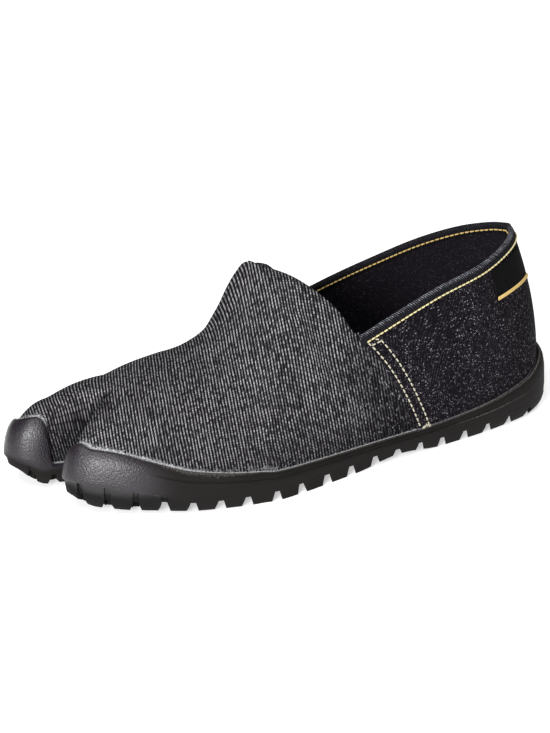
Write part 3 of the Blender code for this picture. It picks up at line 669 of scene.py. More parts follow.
def vampPlace(p, toeMiddle):
    # slanted lines, turned on the big toe and over the throat's ridge; the run goes about each toe's middle
    v = vampTwill
    x, y, z = p[..., 0], p[..., 1], p[..., 2]
    side = y - (v["ridge"] + (toeMiddle - v["ridge"]) * ramp(x, *v["fork"]))
    up = z - v["axisHigh"]
    turnRun = np.arctan2(side, up) * np.clip(np.hypot(side, up), *v["radius"])
    bigToe = ramp(y, *v["toeAcross"]) * ramp(x, *v["toeAlong"])
    toeTurn = v["toeTurn"][0] * (y - v["toeAt"][0]) - v["toeTurn"][1] * (z - v["toeAt"][1])
    overRidge = np.maximum(v["overAcross"] - y, 0) * ramp(x, *v["overAlong"])
    lineRun = x - v["slant"][0] * y - v["slant"][1] * z + bigToe * toeTurn - v["overTurn"] * overRidge
    return np.stack([lineRun, turnRun], -1).reshape(-1, 2)


# upper: fine grid over the last, wall turned inward, lining inside
# painted light and shade, scatter and fray are a base and what is added to it, clefts are place and width
# names that end in Up or Along are from and to in mm
upperLook = {
    "fine": 4, "rows": 66, "crowd": 1.12, "wall": 2.0, "merge": 0.00002, "forkDip": 0.20,
    "toeMiddles": (10.0, -30.0), "quarterLean": 0.35, "seamReach": 46.0,
    "fade": (0.64, 0.38), "paleUp": (13.0, 39.0), "seamShade": 0.26, "seamUp": (70.0, 30.0),
    "cleftShade": 0.55, "bigCleft": (6.3, 0.55), "smallCleft": (4.6, 0.4), "cleftUp": (44.0, 28.0),
    "toeShade": 0.07, "toeAlong": (205.0, 230.0), "scatter": (0.10, 0.68), "scatterUp": (72.0, 32.0),
    "footScatter": 0.25, "footUp": (26.0, 12.0), "mostScatter": 0.8,
    "fray": (1.0, 3.6), "frayFrom": (1.6, 2.8), "frayTo": (4.2, 3.9),
}

columns = np.append(gridColumns(upperLook["fine"]), around - 1e-9)
rise = 1 - (1 - np.linspace(0, 1, upperLook["rows"])) ** upperLook["crowd"]
gGrid, tGrid = np.meshgrid(columns, rise, indexing="ij")
# rows are lowered at the fork, where the cloth turns sharply
fork = np.clip((0.80 - np.abs(gGrid - around / 2)) / 0.25, 0, 1)
tGrid = np.where(tGrid < 1, tGrid * (1 - upperLook["forkDip"] * fork), 1.0)
clothGrid = clothPoint(gGrid, tGrid)
skin = lastPoint(leaned(gGrid, tGrid), tGrid)
upSteps = np.linalg.norm(np.diff(skin, axis=1), axis=2)
upLength = np.concatenate([np.zeros((len(columns), 1)), np.cumsum(upSteps, 1)], 1)
topPart = rubberTop(np.minimum(columns, around - 1e-6))
topLength = np.array([np.interp(a, r, b) for a, r, b in zip(topPart, tGrid, upLength)])
rubberGap = upLength - topLength[:, None]
# quarter cloth: run round the foot and length up
quarterRun = runOf(skin[:, 0])[:, None] + upLength * upperLook["quarterLean"]
quarterUv = np.stack([quarterRun, upLength], -1).reshape(-1, 2)
vampUv = vampPlace(skin, np.where(gGrid < around / 2, *upperLook["toeMiddles"]))
clothFaces = gridFaces(len(columns), len(rise))
isBack = isQuarter(columns)
backFace = (isBack[:-1] | isBack[1:]).repeat(len(rise) - 1)
cornerUv = np.where(backFace[:, None, None], quarterUv[clothFaces], vampUv[clothFaces]).reshape(-1, 2)
# painted light and shade: paler up the vamp, darker by the side seam, in the cleft and on the toes
x, z = skin[..., 0], skin[..., 2]
seamX = skin[np.argmin(abs(columns - seamStation))][:, 0][None, :]
nearSeam = smooth(1 - (x - seamX) / upperLook["seamReach"])
cleft = bell(gGrid, *upperLook["bigCleft"]) * ramp(z, *upperLook["cleftUp"])
cleft = np.clip(cleft + bell(gGrid, *upperLook["smallCleft"]), 0, 1)
fade = upperLook["fade"][0] + upperLook["fade"][1] * ramp(z, *upperLook["paleUp"])
fade = fade * (1 - upperLook["seamShade"] * nearSeam * ramp(z, *upperLook["seamUp"]))
fade = fade * (1 - upperLook["cleftShade"] * cleft)
fade = fade * (1 - upperLook["toeShade"] * ramp(x, *upperLook["toeAlong"]))
scatter = upperLook["scatter"][0] + upperLook["scatter"][1] * nearSeam * ramp(z, *upperLook["scatterUp"])
scatter = scatter + upperLook["footScatter"] * ramp(z, *upperLook["footUp"])
scatter = np.clip(scatter, 0, upperLook["mostScatter"])
outline = mirrored(gGrid)
vampFoot = ramp(outline, *upperLook["frayFrom"]) * ramp(outline, *upperLook["frayTo"])
frayReach = upperLook["fray"][0] + upperLook["fray"][1] * vampFoot
upperCloth = makePiece("upperCloth", clothGrid, clothFaces, (vampDenim, quarterDenim, liningCloth, liningCloth),
                       uv=cornerUv, faceMaterial=backFace.astype(int), merge=upperLook["merge"],
                       values={"rubberGap": rubberGap, "fade": fade, "scatter": scatter,
                               "frayReach": frayReach})
wall = upperCloth.modifiers.new("wall", "SOLIDIFY")
wall.thickness = upperLook["wall"] * mm
wall.offset = -1.0
wall.material_offset = 2
wall.material_offset_rim = 2
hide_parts("upper")
print("upper cloth", len(upperCloth.data.polygons))


def edgeFrame(g):
    # points, outward and inward directions along the upper's top edge
    edge = np.full(len(g), 1.0)
    p = clothPoint(g, edge)
    n = lastNormal(leaned(g, edge), edge)
    along = unit(np.gradient(p, axis=0))
    into = np.cross(along, n)
    down = clothPoint(g, edge - 0.06) - p
    into = into * np.sign(np.sum(into * down, -1))[:, None]
    out = np.cross(into, along)
    return p, unit(out * np.sign(np.sum(out * n, -1))[:, None]), unit(into)


def evened(v, rounds, directions=True):
    # running mean along a path, ends kept; directions stay of unit length
    for _ in range(rounds):
        mean = (v[:-2] + 2 * v[1:-1] + v[2:]) / 4
        v = np.concatenate([v[:1], unit(mean) if directions else mean, v[-1:]])
    return v


def carryProfile(p, out, into, profile):
    # a closed profile carried along a path: out and into parts in mm
    a = np.array(profile)
    return p[:, None] + out[:, None] * a[None, :, :1] + into[:, None] * a[None, :, 1:]


# folded hem of the quarters, from corner to corner round the heel
hemLook = {
    "depth": 4.2, "outer": 0.50, "inner": -2.45, "crown": 1.0, "bendFrom": 0.9, "steps": 320, "lean": 0.35,
    "rubbed": 0.06, "crest": (0.06, 0.94), "crestUp": (1.1, -0.6), "nearFrom": (0.02, 0.14),
}

hemDeep, hemOuter, hemInner = hemLook["depth"], hemLook["outer"], hemLook["inner"]
half, centre = (hemOuter - hemInner) / 2, (hemOuter + hemInner) / 2
bendFrom = hemLook["bendFrom"]
hemProfile = [(-0.2, hemDeep + 0.3), (hemOuter - 0.15, hemDeep + 0.1), (hemOuter, hemDeep - 0.4),
              (hemOuter + 0.05, 3.2), (hemOuter + 0.12, 2.4), (hemOuter + 0.10, 1.6)]
hemProfile += [(centre + half * math.cos(b), bendFrom - (bendFrom + hemLook["crown"]) * math.sin(b))
               for b in np.linspace(0, np.pi, 13)]
hemProfile += [(hemInner - 0.08, 1.8), (hemInner - 0.08, 2.8), (hemInner, 3.7),
               (hemInner + 0.15, hemDeep + 0.1), (-1.8, hemDeep + 0.3)]
hemEnd = seamStation - 0.004
hemStations = np.linspace(hemEnd, -hemEnd, hemLook["steps"])
hemPath, hemOut, hemInto = edgeFrame(np.mod(hemStations, around))
hemPoints = carryProfile(hemPath, hemOut, hemInto, hemProfile)
hemUv = np.stack(np.meshgrid(runOf(hemPath), runOf(np.array(hemProfile)), indexing="ij"), -1).reshape(-1, 2)
hemUv[:, 0] += hemUv[:, 1] * hemLook["lean"]
# painted highlight: paler along the crest, much more on the near side
nearSide = ramp(hemStations, *hemLook["nearFrom"])[:, None]
crest = ramp(np.array(hemProfile)[:, 1], *hemLook["crestUp"])[None, :]
rubbed = hemLook["rubbed"] + (hemLook["crest"][0] + hemLook["crest"][1] * nearSide) * crest
collarHem = makePiece("collarHem", hemPoints, tubeFaces(len(hemPath), len(hemProfile)), (hemDenim,), uv=hemUv,
                      values={"rubbed": rubbed})

# rounded edge of the vamp round the throat, with the soft dip at its peak
throatLook = {
    "steps": 140, "foldAt": -9.4, "foldWide": 1.0, "foldDeep": 1.9, "evenPath": 110, "evenFrame": 90,
    "fade": 0.85, "scatter": 0.10, "rubberGap": 40.0,
}
throatProfile = [(-0.1, 3.4), (0.12, 2.6), (0.22, 1.6), (0.25, 0.8)]
throatProfile += [(-1.0 + 1.25 * math.cos(b), 0.5 - 1.0 * math.sin(b))
                  for b in np.linspace(0.2, np.pi - 0.2, 9)]
throatProfile += [(-2.25, 0.8), (-2.22, 1.6), (-2.12, 2.6), (-1.9, 3.4)]
sideStations = np.linspace(seamStation + 0.004, 1.0 - 1e-6, throatLook["steps"])
throatStations = np.concatenate([sideStations, (around - sideStations)[::-1][1:]])
throatPath, throatOut, throatInto = edgeFrame(throatStations)
throatPath = evened(throatPath, throatLook["evenPath"], directions=False)
throatOut = evened(throatOut, throatLook["evenFrame"])
throatInto = evened(throatInto, throatLook["evenFrame"])
fold = bell(throatPath[:, 1], throatLook["foldAt"], throatLook["foldWide"]) * (throatStations > around / 2)
throatPath[:, 2] -= throatLook["foldDeep"] * fold
throatPoints = carryProfile(throatPath, throatOut, throatInto, throatProfile)
plain = np.ones(throatPoints.shape[:2])
# the throat edge carries a plain value of painted shade
throatValues = {key: throatLook[key] * plain for key in ("rubberGap", "fade", "scatter")}
throatEdge = makePiece("throatEdge", throatPoints, tubeFaces(len(throatPath), len(throatProfile)), (vampDenim,),
                       uv=vampPlace(throatPoints, 0.0), values=dict(throatValues, frayReach=plain))
print("hem and throat edge")


def stitchMesh(name, centres, direction, normal, length, radius, arch, material, slot):
    # one small capsule per stitch that dives into the cloth at both ends
    x = np.linspace(-1, 1, 8)
    turn = np.linspace(0, 2 * np.pi, 7)[:-1]
    size = radius * np.sqrt(np.maximum(1 - np.abs(x) ** 5, 0.03))
    side = unit(np.cross(direction, normal))
    spine = centres[:, None] + direction[:, None] * (x * length / 2)[None, :, None]
    spine = spine + normal[:, None] * (arch * (1 - x ** 4) - 0.3 * radius)[None, :, None]
    cosine, sine = [wave(turn)[None, None, :, None] for wave in (np.cos, np.sin)]
    ring = normal[:, None, None] * cosine + side[:, None, None] * sine
    points = spine[:, :, None] + ring * size[None, :, None, None]
    count = len(x) * len(turn)
    start = (np.arange(len(centres)) * count)[:, None, None]
    sides = (gridFaces(len(x), len(turn), roundRows=True)[None] + start).reshape(-1, 4)
    ends = np.array([list(range(len(turn)))[::-1], [(len(x) - 1) * len(turn) + k for k in range(len(turn))]])
    caps = (ends[None] + start).reshape(-1, len(turn))
    place = np.stack(np.meshgrid((x + 1) * length / 2, turn * radius, indexing="ij"), -1).reshape(-1, 2)
    place[:, 0] += place[:, 1] * 0.5
    uv = np.tile(place, (len(centres), 1)) + np.repeat(np.arange(len(centres)) * 1.37, count)[:, None]
    obj = makePiece(name, points, sides.tolist() + caps.tolist(), (material,), uv=uv)


def alongPath(p, n, step, ends=0.0, wobble=0.0):
    # evenly spaced places, directions and normals on a path
    run = runOf(p)
    at = np.arange(ends + step / 2, run[-1] - ends, step)
    at = at + rng.uniform(-wobble, wobble, len(at))

    def pick(v):
        return np.stack([np.interp(at, run, v[:, k]) for k in range(3)], -1)

    return pick(p), unit(pick(np.gradient(p, axis=0))), unit(pick(n))


# stitching: collar rows, two rows down each side seam with a closed end, thread ends loose at the seam's foot
stitchLook = {
    "step": 2.5, "length": 2.42, "radius": 0.40, "arch": 0.28, "ends": 2.0, "wobble": 0.08,
    "hemDepth": 3.5, "liningDepth": 2.3, "proud": 0.05,
    "seamStep": 3.1, "seamLength": 2.35, "seamArch": 0.26, "seamWobble": 0.06, "seamFoot": 0.060,
    "seamFirst": (0.6, 0.985), "seamSecond": (6.4, 0.885), "barSteps": 8, "tails": 5,
    "tailSpread": (1.0, 0.0, 0.7),
}

for name, out, depth, facing, threadCloth in (
        ("collarThread", hemOuter + stitchLook["proud"], stitchLook["hemDepth"], hemOut, paleThread),
        ("liningThread", hemInner - stitchLook["proud"], stitchLook["liningDepth"], -hemOut, goldThread)):
    row = alongPath(hemPath + hemOut * out + hemInto * depth, facing, stitchLook["step"], stitchLook["ends"],
                    stitchLook["wobble"])
    stitchMesh(name, *row, stitchLook["length"], stitchLook["radius"], stitchLook["arch"], threadCloth, "denim")


def seamLine(inner, back, high, low, count=60):
    # a line down the quarter at a set distance behind the side seam
    up = np.linspace(high, low, count)
    edge = seamStation - 0.0035  # just behind the step of the seam
    g = np.full(count, edge)
    perStation = np.linalg.norm(clothPoint(g - 0.01, up) - clothPoint(g, up), axis=1) / 0.01
    g = edge - back / perStation
    g = around - g if inner else g
    return clothPoint(g, up, 0.06), lastNormal(leaned(g, up), up)  # a hair above the cloth


for inner, sideName in ((False, "outer"), (True, "inner")):
    (front, frontOut), (rear, rearOut) = [seamLine(inner, *stitchLook[key], stitchLook["seamFoot"])
                                          for key in ("seamFirst", "seamSecond")]
    steps, tails = stitchLook["barSteps"], stitchLook["tails"]
    bar = (np.linspace(front[0], rear[0], steps), np.repeat(frontOut[:1], steps, axis=0))
    lowerLine = np.linspace(front[7], rear[0] + (front[7] - front[6]), steps)
    lower = (lowerLine, np.repeat(frontOut[7:8], steps, axis=0))
    sets = [alongPath(*line, stitchLook["seamStep"], 0.0, stitchLook["seamWobble"])
            for line in ((front, frontOut), (rear, rearOut), bar, lower)]
    mix = rng.uniform(0, 1, (tails, 1))
    tailAt = front[-1] * mix + rear[-1] * (1 - mix) + rng.normal(0, 1.0, (tails, 3)) * stitchLook["tailSpread"]
    tailOut = np.repeat(frontOut[-1:], tails, axis=0)
    sets.append((tailAt, unit(np.cross(tailOut, rng.normal(0, 1, (tails, 3)))), tailOut))
    joined = [np.concatenate(part) for part in zip(*sets)]
    stitchMesh("seamThread_" + sideName, *joined, stitchLook["seamLength"], stitchLook["radius"],
               stitchLook["seamArch"], creamThread, "denim")
print("stitching")

# heel patch, left bare, with its gold tack along the lower edge
patchLook = {
    "from": 0.175, "to": 0.385, "height": 15.5, "halfWide": 14.0, "below": 5.6, "thick": 1.0, "grid": (61, 25),
    "ground": (0.0024, 0.0022, 0.0026), "thread": (0.012, 0.0115, 0.012), "rough": 0.85, "gloss": 0.06,
    "weave": {"pitch": 0.55, "bead": 0.6, "sway": 0.1, "scatter": 0.25, "cover": 0.5}, "bump": (0.5, 0.00012),
}
tackLook = {
    "points": 40, "share": 0.98, "above": 0.012, "step": 0.62, "lean": 0.25,
    "length": 2.0, "radius": 0.36, "arch": 0.2,
}

patchCloth = wovenMaterial("patchCloth", patchLook)
patchMiddle = (patchLook["from"] + patchLook["to"]) / 2
patchHalf = (patchLook["to"] - patchLook["from"]) / 2
heelParts = np.linspace(0, 1, 200)
heelRun = runOf(lastPoint(np.full(200, patchMiddle), heelParts))
patchTop, patchFoot = [np.interp(heelRun[-1] - d, heelRun, heelParts)
                       for d in (patchLook["below"], patchLook["below"] + patchLook["height"])]
patchU, patchV = np.meshgrid(*[np.linspace(-1, 1, count) for count in patchLook["grid"]], indexing="ij")
patchG = patchMiddle + patchU * patchHalf
patchT = patchFoot + (patchTop - patchFoot) * (patchV + 1) / 2
# soft edge: the patch thins close to its rim
crown = fitGap + patchLook["thick"] * (1 - 0.35 * np.maximum(np.abs(patchU), np.abs(patchV)) ** 14)
patchPoints = clothPoint(patchG, patchT, crown)
patchUv = np.stack([patchU * patchLook["halfWide"], patchV * patchLook["height"] / 2], -1).reshape(-1, 2)
heelPatch = makePiece("heelPatch", patchPoints, gridFaces(*patchLook["grid"]), (patchCloth,), uv=patchUv)
body = heelPatch.modifiers.new("body", "SOLIDIFY")
body.thickness = patchLook["thick"] * mm
body.offset = -1.0
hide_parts("heel_label")
tackG = patchMiddle + np.linspace(-tackLook["share"], tackLook["share"], tackLook["points"]) * patchHalf
tackT = np.full(tackLook["points"], patchFoot + tackLook["above"])
tackPath = clothPoint(tackG, tackT, fitGap + patchLook["thick"])
tackAt, tackAlong, tackOut = alongPath(tackPath, lastNormal(leaned(tackG, tackT), tackT), tackLook["step"])
tackWay = unit(np.cross(tackOut, tackAlong) + tackLook["lean"] * tackAlong)
stitchMesh("patchTack", tackAt, tackWay, tackOut, tackLook["length"], tackLook["radius"], tackLook["arch"],
           goldThread, "patch")
print("heel patch")

# moulded rubber sole with toe caps, a closed loft; gaps between lugs are counted round the edge from the heel
soleLook = {
    "ledgeOut": 0.7, "lugFirst": 292.2, "lugGroups": ((6, 13.03), (5, 14.9), (3, 13.5), (4, 14.7)),
    "toeTips": (305.0, 365.5, 376.5), "gapFoot": 2.8, "gapTop": 1.2, "gapEase": 0.25,
    "lugHigh": 4.6, "leftAbove": 1.3, "step": 1.1, "toeStep": 0.9, "slotDeep": 1.1, "shelfDrop": 0.4,
    "tuckPart": 0.42, "tuckShare": 0.25, "wallShare": 0.92, "grooveToe": 5.0, "grooveHeel": 2.0,
    "grooveSide": 11.0, "grooveWay": (0.524, 0.852), "toeFrom": 262.0,
    "deepFrom": (31.0, 38.0), "slantFrom": (24.0, 34.0), "slantTo": (262.0, 254.0),
    "flankFrom": (0.2, 0.5), "flankTo": (2.7, 2.2), "lapEnd": 0.03, "shelfEdge": 0.35, "shelfIn": 0.2,
    "capAlong": (2.2, 2.9), "capAbove": (6.0, 10.0), "lipReach": (0.8, 3.4), "lipAt": (2.0, 0.45),
    "ledgeDust": (0.75, 0.40), "shelfStart": 0.25, "shelfOff": 9.0, "toeRecess": 0.65, "gapRecess": 0.8,
    "footIn": 0.2, "grooveEase": 20,
}
# station, height of the caps' lower shelf above the feather line
shelfTable = (
    (0.00, -0.4), (2.00, -0.4), (2.45, 2.0), (2.85, 4.0), (3.10, 4.8), (3.50, 4.6), (3.80, 3.0),
    (4.20, -0.4), (6.80, -0.4), (7.10, -0.2), (7.36, 1.0), (7.60, 1.6), (7.90, 2.0), (8.30, 2.0),
    (8.80, -0.4), (11.0, -0.4),
)
# station, how far the lugs' feet stand in from the wall above
tuckTable = (
    (0.00, 4.0), (0.12, 3.8), (0.25, 3.0), (0.45, 1.6), (0.70, 0.3), (1.00, -0.9), (1.30, -0.4),
    (1.70, 1.2), (2.20, 2.2), (3.00, 2.6), (3.35, 3.2), (3.70, 3.8), (4.00, 2.2), (4.40, 0.8),
    (5.50, 0.4), (6.70, 0.6), (7.00, 1.4), (7.30, 3.2), (7.60, 4.2), (7.90, 3.6), (8.30, 2.8),
    (9.00, 2.0), (9.50, 0.8), (10.0, 0.0), (10.3, 0.3), (10.55, 1.6), (10.75, 3.0), (10.88, 3.8), (11.0, 4.0),
)
# part of the way up, share of the wall: lip, ledge and lower wall
lipRows = ((1.0, 0.0), (1.022, 0.14), (1.026, 0.32), (1.010, 0.50), (0.985, 0.62), (0.95, 0.72), (0.90, 0.82),
           (0.82, 0.90), (0.74, 0.96), (0.66, 1.0))
ledgeRows = ((0.615, 0.05), (0.60, 0.55), (0.58, 0.95))
lowRows = ((0.5, 0.94), (0.38, 0.97), (0.25, 1.0))
# part of the way: up the inside, down the lugs' faces, and in along the grooves with what is left of the gap
insideRows = (0.3, 0.7, 0.95)
lugRows = (0.0, 0.04, 0.25, 0.45, 0.65, 0.82, 0.95)
grooveRows = ((0.03, 1.0), (0.12, 1.0), (0.4, 1.0), (0.7, 1.0), (0.94, 1.0), (1.0, 0.0))


def soleFrame(g):
    # what the rings of the sole need at each column
    q = mirrored(g)
    s = leaned(g, np.zeros(len(g)))
    c = section(s)
    return {
        "foot": c[:, :2], "feather": c[:, 2], "wall": c[:, 4], "out": outward(s), "top": rubberTop(g), "q": q,
        "flank": ramp(q, *soleLook["flankFrom"]) * ramp(q, *soleLook["flankTo"]),
        "lap": lastShape["quarterLap"] * ramp(q, seamStation + soleLook["lapEnd"], seamStation),
        "shelf": np.interp(s, *np.transpose(shelfTable)), "tuck": np.interp(s, *np.transpose(tuckTable)),
    }


def flatRing(f, grow, height):
    # the foot's outline pushed out by grow, at a set height
    return np.column_stack([f["foot"] + f["out"] * grow[:, None], height])


coarse = gridColumns(1)
f = soleFrame(coarse)
coarseEdge = flatRing(f, fitGap + f["wall"] + soleLook["ledgeOut"] * f["flank"], f["feather"])
edgeRun = runOf(coarseEdge[:, :2])
edgeAll = edgeRun[-1] + np.linalg.norm(coarseEdge[0, :2] - coarseEdge[-1, :2])
sideRuns = [soleLook["lugFirst"]]
for many, pitch in soleLook["lugGroups"]:
    sideRuns += [sideRuns[-1] - pitch * (k + 1) for k in range(many)]
sideRuns = np.array(sideRuns)
gapAt = np.concatenate([sideRuns, edgeAll - sideRuns, soleLook["toeTips"]])
gapFoot, gapTop, gapEase = soleLook["gapFoot"], soleLook["gapTop"], soleLook["gapEase"]
gapEdges = np.array([-gapFoot, -gapTop - gapEase, -gapTop, gapTop, gapTop + gapEase, gapFoot])
runAt = np.concatenate([np.arange(0, edgeAll, soleLook["step"]), (gapAt[:, None] + gapEdges).ravel()])
runAt = np.unique(np.round(runAt, 3))
runAt = runAt[np.concatenate([[True], np.diff(runAt) > 0.05])]
soleG = np.interp(runAt, np.append(edgeRun, edgeAll), np.append(coarse, around - 1e-6))
f = soleFrame(soleG)
away = np.abs(runAt[:, None] - gapAt[None, :]).min(1)
inGap = np.clip((gapFoot - away) / (gapFoot - gapTop), 0, 1)
ledge = soleLook["ledgeOut"] * f["flank"]
fullWall = f["wall"] * soleLook["wallShare"]


def skinRing(part, grow):
    # the last's skin at a part of the way up to the rubber's top, pushed out by grow
    up = f["top"] * part
    s = leaned(soleG, up)
    return lastPoint(s, up) + lastNormal(s, up) * grow[:, None]


insideFace = fitGap + f["lap"]
rings = [flatRing(f, insideFace, f["feather"] - fitGap)]
rings += [skinRing(part, insideFace) for part in insideRows]
lipRing = len(rings) + 2
rings += [skinRing(part, insideFace + (fitGap + fullWall - insideFace) * share) for part, share in lipRows]
ledgeRing = len(rings) + 2
rings += [skinRing(part, fitGap + fullWall + ledge * share) for part, share in ledgeRows]
lowWall = fitGap + f["wall"] + ledge
rings += [skinRing(part, fitGap + f["wall"] * share + ledge) for part, share in lowRows]
# below the wall: shelf of the toe caps, then lug faces that slope in toward their feet
toe = np.clip((f["shelf"] + soleLook["shelfDrop"]) / 2, 0, 1)
lugWall = lowWall - soleLook["toeStep"] * toe
base = flatRing(f, lugWall - f["tuck"], f["feather"])
ground = underside(base[:, 0], base[:, 1])
lugHigh = np.clip(f["feather"] - fitGap - soleLook["leftAbove"] - ground, 0, soleLook["lugHigh"])
shelfUp = f["feather"] + f["shelf"]
rings.append(flatRing(f, lowWall, (shelfUp + rings[-1][:, 2]) / 2))
rings.append(flatRing(f, lowWall, shelfUp + soleLook["shelfEdge"]))
shelfRing = len(rings)
rings.append(flatRing(f, lowWall - soleLook["shelfIn"] * toe, shelfUp))
sideTop = shelfUp - soleLook["shelfDrop"]
sideFoot = ground + inGap * lugHigh
bevelAt = ground + soleLook["tuckPart"] * (f["feather"] - fitGap - ground)
slot = ramp(away, gapTop + gapEase, gapTop) * soleLook["slotDeep"] * toe
slotRing = len(rings) + 1
for part in lugRows:
    height = sideTop + (sideFoot - sideTop) * part
    upperPart = np.clip((sideTop - height) / np.maximum(sideTop - bevelAt, 0.1), 0, 1)
    lowerPart = np.clip((bevelAt - height) / np.maximum(bevelAt - ground, 0.1), 0, 1)
    tucked = upperPart * soleLook["tuckShare"] + lowerPart * (1 - soleLook["tuckShare"])
    faceGrow = lugWall - f["tuck"] * tucked
    rings.append(flatRing(f, faceGrow - slot if part else faceGrow, height))
footGrow = faceGrow - slot
footRing = len(rings)
# grooves run in under the sole, slanted along the sides and square at heel and toe
fromHeel = np.minimum(runAt, edgeAll - runAt)
sideDeep = soleLook["grooveHeel"] + soleLook["grooveSide"] * ramp(fromHeel, *soleLook["deepFrom"])
deepest = np.where(fromHeel > soleLook["toeFrom"], soleLook["grooveToe"], sideDeep)
slantwise = (ramp(fromHeel, *soleLook["slantTo"]) * ramp(fromHeel, *soleLook["slantFrom"]))[:, None]
alongWay, acrossWay = soleLook["grooveWay"]
slant = np.column_stack([np.full(len(soleG), alongWay), np.where(soleG < around / 2, acrossWay, -acrossWay)])
groove = unit(f["out"] * (1 - slantwise) + slant * slantwise)
for _ in range(soleLook["grooveEase"]):
    deepest = (np.roll(deepest, 1) + 2 * deepest + np.roll(deepest, -1)) / 4
for share, keepGap in grooveRows:
    ring = flatRing(f, footGrow - soleLook["footIn"], f["feather"])
    ring[:, :2] -= groove * (deepest * share)[:, None]
    ring[:, 2] = np.minimum(underside(ring[:, 0], ring[:, 1]), ground) + inGap * lugHigh * keepGap
    rings.append(ring)
solePoints = np.stack(rings, 1)
count = len(rings)

# values for the looks: cap share, distances to lip, ledge and shelf, and painted shade with some dirt in the
# hollows between the lugs
aboveGround = solePoints[..., 2] - ground[:, None]
toeCap = ramp(f["q"], *soleLook["capAlong"])[:, None] * ramp(aboveGround, *soleLook["capAbove"])
ringSteps = np.linalg.norm(np.diff(solePoints, axis=1), axis=2)
ringDrop = np.cumsum(np.concatenate([np.zeros((len(soleG), 1)), ringSteps], 1), 1)
lipGap, ledgeGap, shelfAway = [ringDrop - ringDrop[:, k:k + 1] for k in (lipRing, ledgeRing, shelfRing)]
shelfGap = soleLook["shelfStart"] + np.abs(shelfAway) + soleLook["shelfOff"] * (1 - toe)[:, None]
# painted shade with some dirt: darker in the slots, on the lug faces under the caps and in the grooves between
# the lugs
recessShadeAndDirt = np.zeros((len(soleG), count))
recessShadeAndDirt[:, slotRing:footRing] = np.maximum(slot / soleLook["slotDeep"], soleLook["toeRecess"] * toe)[:, None]
recessShadeAndDirt[:, footRing:] = (soleLook["gapRecess"] * inGap)[:, None]
lipReach = soleLook["lipReach"][0] + soleLook["lipReach"][1] * bell(f["q"], *soleLook["lipAt"])
ledgeShare = f["flank"] * ramp(f["q"], *soleLook["ledgeDust"])
lipReach, ledgeShare = [np.repeat(v[:, None], count, axis=1) for v in (lipReach, ledgeShare)]

rubberLook = {
    "side": (0.0058, 0.0045, 0.0041), "cap": (0.0066, 0.0034, 0.0078), "dust": (0.16, 0.15, 0.14),
    "hollowShadeAndDirt": (0.0016, 0.0014, 0.0013), "pebbleSize": 1500.0, "tone": (0.78, 1.2), "dustShare": 0.40,
    "rough": (0.40, 0.47), "addedRough": (0.34, 0.10), "gloss": 0.20, "capCoat": 0.85, "coatRough": 0.40,
    "sideGrain": 0.30, "bump": (0.7, 0.00025), "ledgeReach": 0.7, "scuffReach": 0.80, "sharp": 38,
    "drift": (55.0, 3.0), "driftSpan": (0.3, 0.7), "lipGrain": 1100.0, "ledgeGrain": 700.0, "scuffGrain": 330.0,
}
soleRubber, t, bsdf = newMaterial("soleRubber")
# moulded grain: small raised pebbles and a slow drift of tone
pebbles = (("Vector", objectPlace(t)), ("Scale", rubberLook["pebbleSize"]))
cells = addNode(t, "ShaderNodeTexVoronoi", pebbles, feature="SMOOTH_F1")
pebbleHeight = minus(t, 1.0, cells.outputs["Distance"])
drift = noise(t, objectPlace(t), *rubberLook["drift"])
cap = valueOf(t, "toeCap")
colour = blend(t, cap, rubberLook["side"], rubberLook["cap"])
tone = remap(t, drift, *rubberLook["driftSpan"], *rubberLook["tone"])
toneColour = addNode(t, "ShaderNodeCombineColor", ((0, tone), (1, tone), (2, tone))).outputs[0]
colour = blend(t, 1.0, colour, toneColour, "MULTIPLY")
dustEdges = (
    ("lipGap", valueOf(t, "lipReach"), rubberLook["lipGrain"]),
    ("ledgeGap", rubberLook["ledgeReach"], rubberLook["ledgeGrain"]),
    ("shelfGap", rubberLook["scuffReach"], rubberLook["scuffGrain"]),
)
lipDust, ledgeDust, scuff = [
    useGroup(t, edgeGroup, place=objectPlace(t), gap=valueOf(t, gap), reach=reach, grain=size)["mask"]
    for gap, reach, size in dustEdges
]
dusty = calc(t, "MAXIMUM", lipDust, times(t, ledgeDust, valueOf(t, "ledgeShare")))
dusty = times(t, calc(t, "MAXIMUM", dusty, scuff), rubberLook["dustShare"])
colour = blend(t, dusty, colour, rubberLook["dust"])
# painted shade with some dirt in the hollows
colour = blend(t, valueOf(t, "recessShadeAndDirt"), colour, rubberLook["hollowShadeAndDirt"])
addedRough = remap(t, cap, 0.0, 1.0, *rubberLook["addedRough"])
rough = plus(t, remap(t, drift, *rubberLook["driftSpan"], *rubberLook["rough"]), addedRough)
dress(t, bsdf, colour, rough, rubberLook["gloss"])
plug(t, bsdf.inputs["Coat Weight"], times(t, cap, rubberLook["capCoat"]))
bsdf.inputs["Coat Roughness"].default_value = rubberLook["coatRough"]
grainShare = remap(t, cap, 0.0, 1.0, rubberLook["sideGrain"], 1.0)
setBump(t, bsdf, times(t, pebbleHeight, grainShare), *rubberLook["bump"])
t.links.new(bsdf.inputs["Normal"].links[0].from_socket, bsdf.inputs["Coat Normal"])

rubberSole = makePiece("rubberSole", solePoints, loftFaces(len(soleG), count), (soleRubber,),
                       sharp=rubberLook["sharp"],
                       values={"toeCap": toeCap, "lipGap": lipGap, "lipReach": lipReach, "ledgeGap": ledgeGap,
                               "shelfGap": shelfGap, "ledgeShare": ledgeShare, "recessShadeAndDirt": recessShadeAndDirt})
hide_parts("outsole")
print("rubber sole", len(rubberSole.data.polygons))

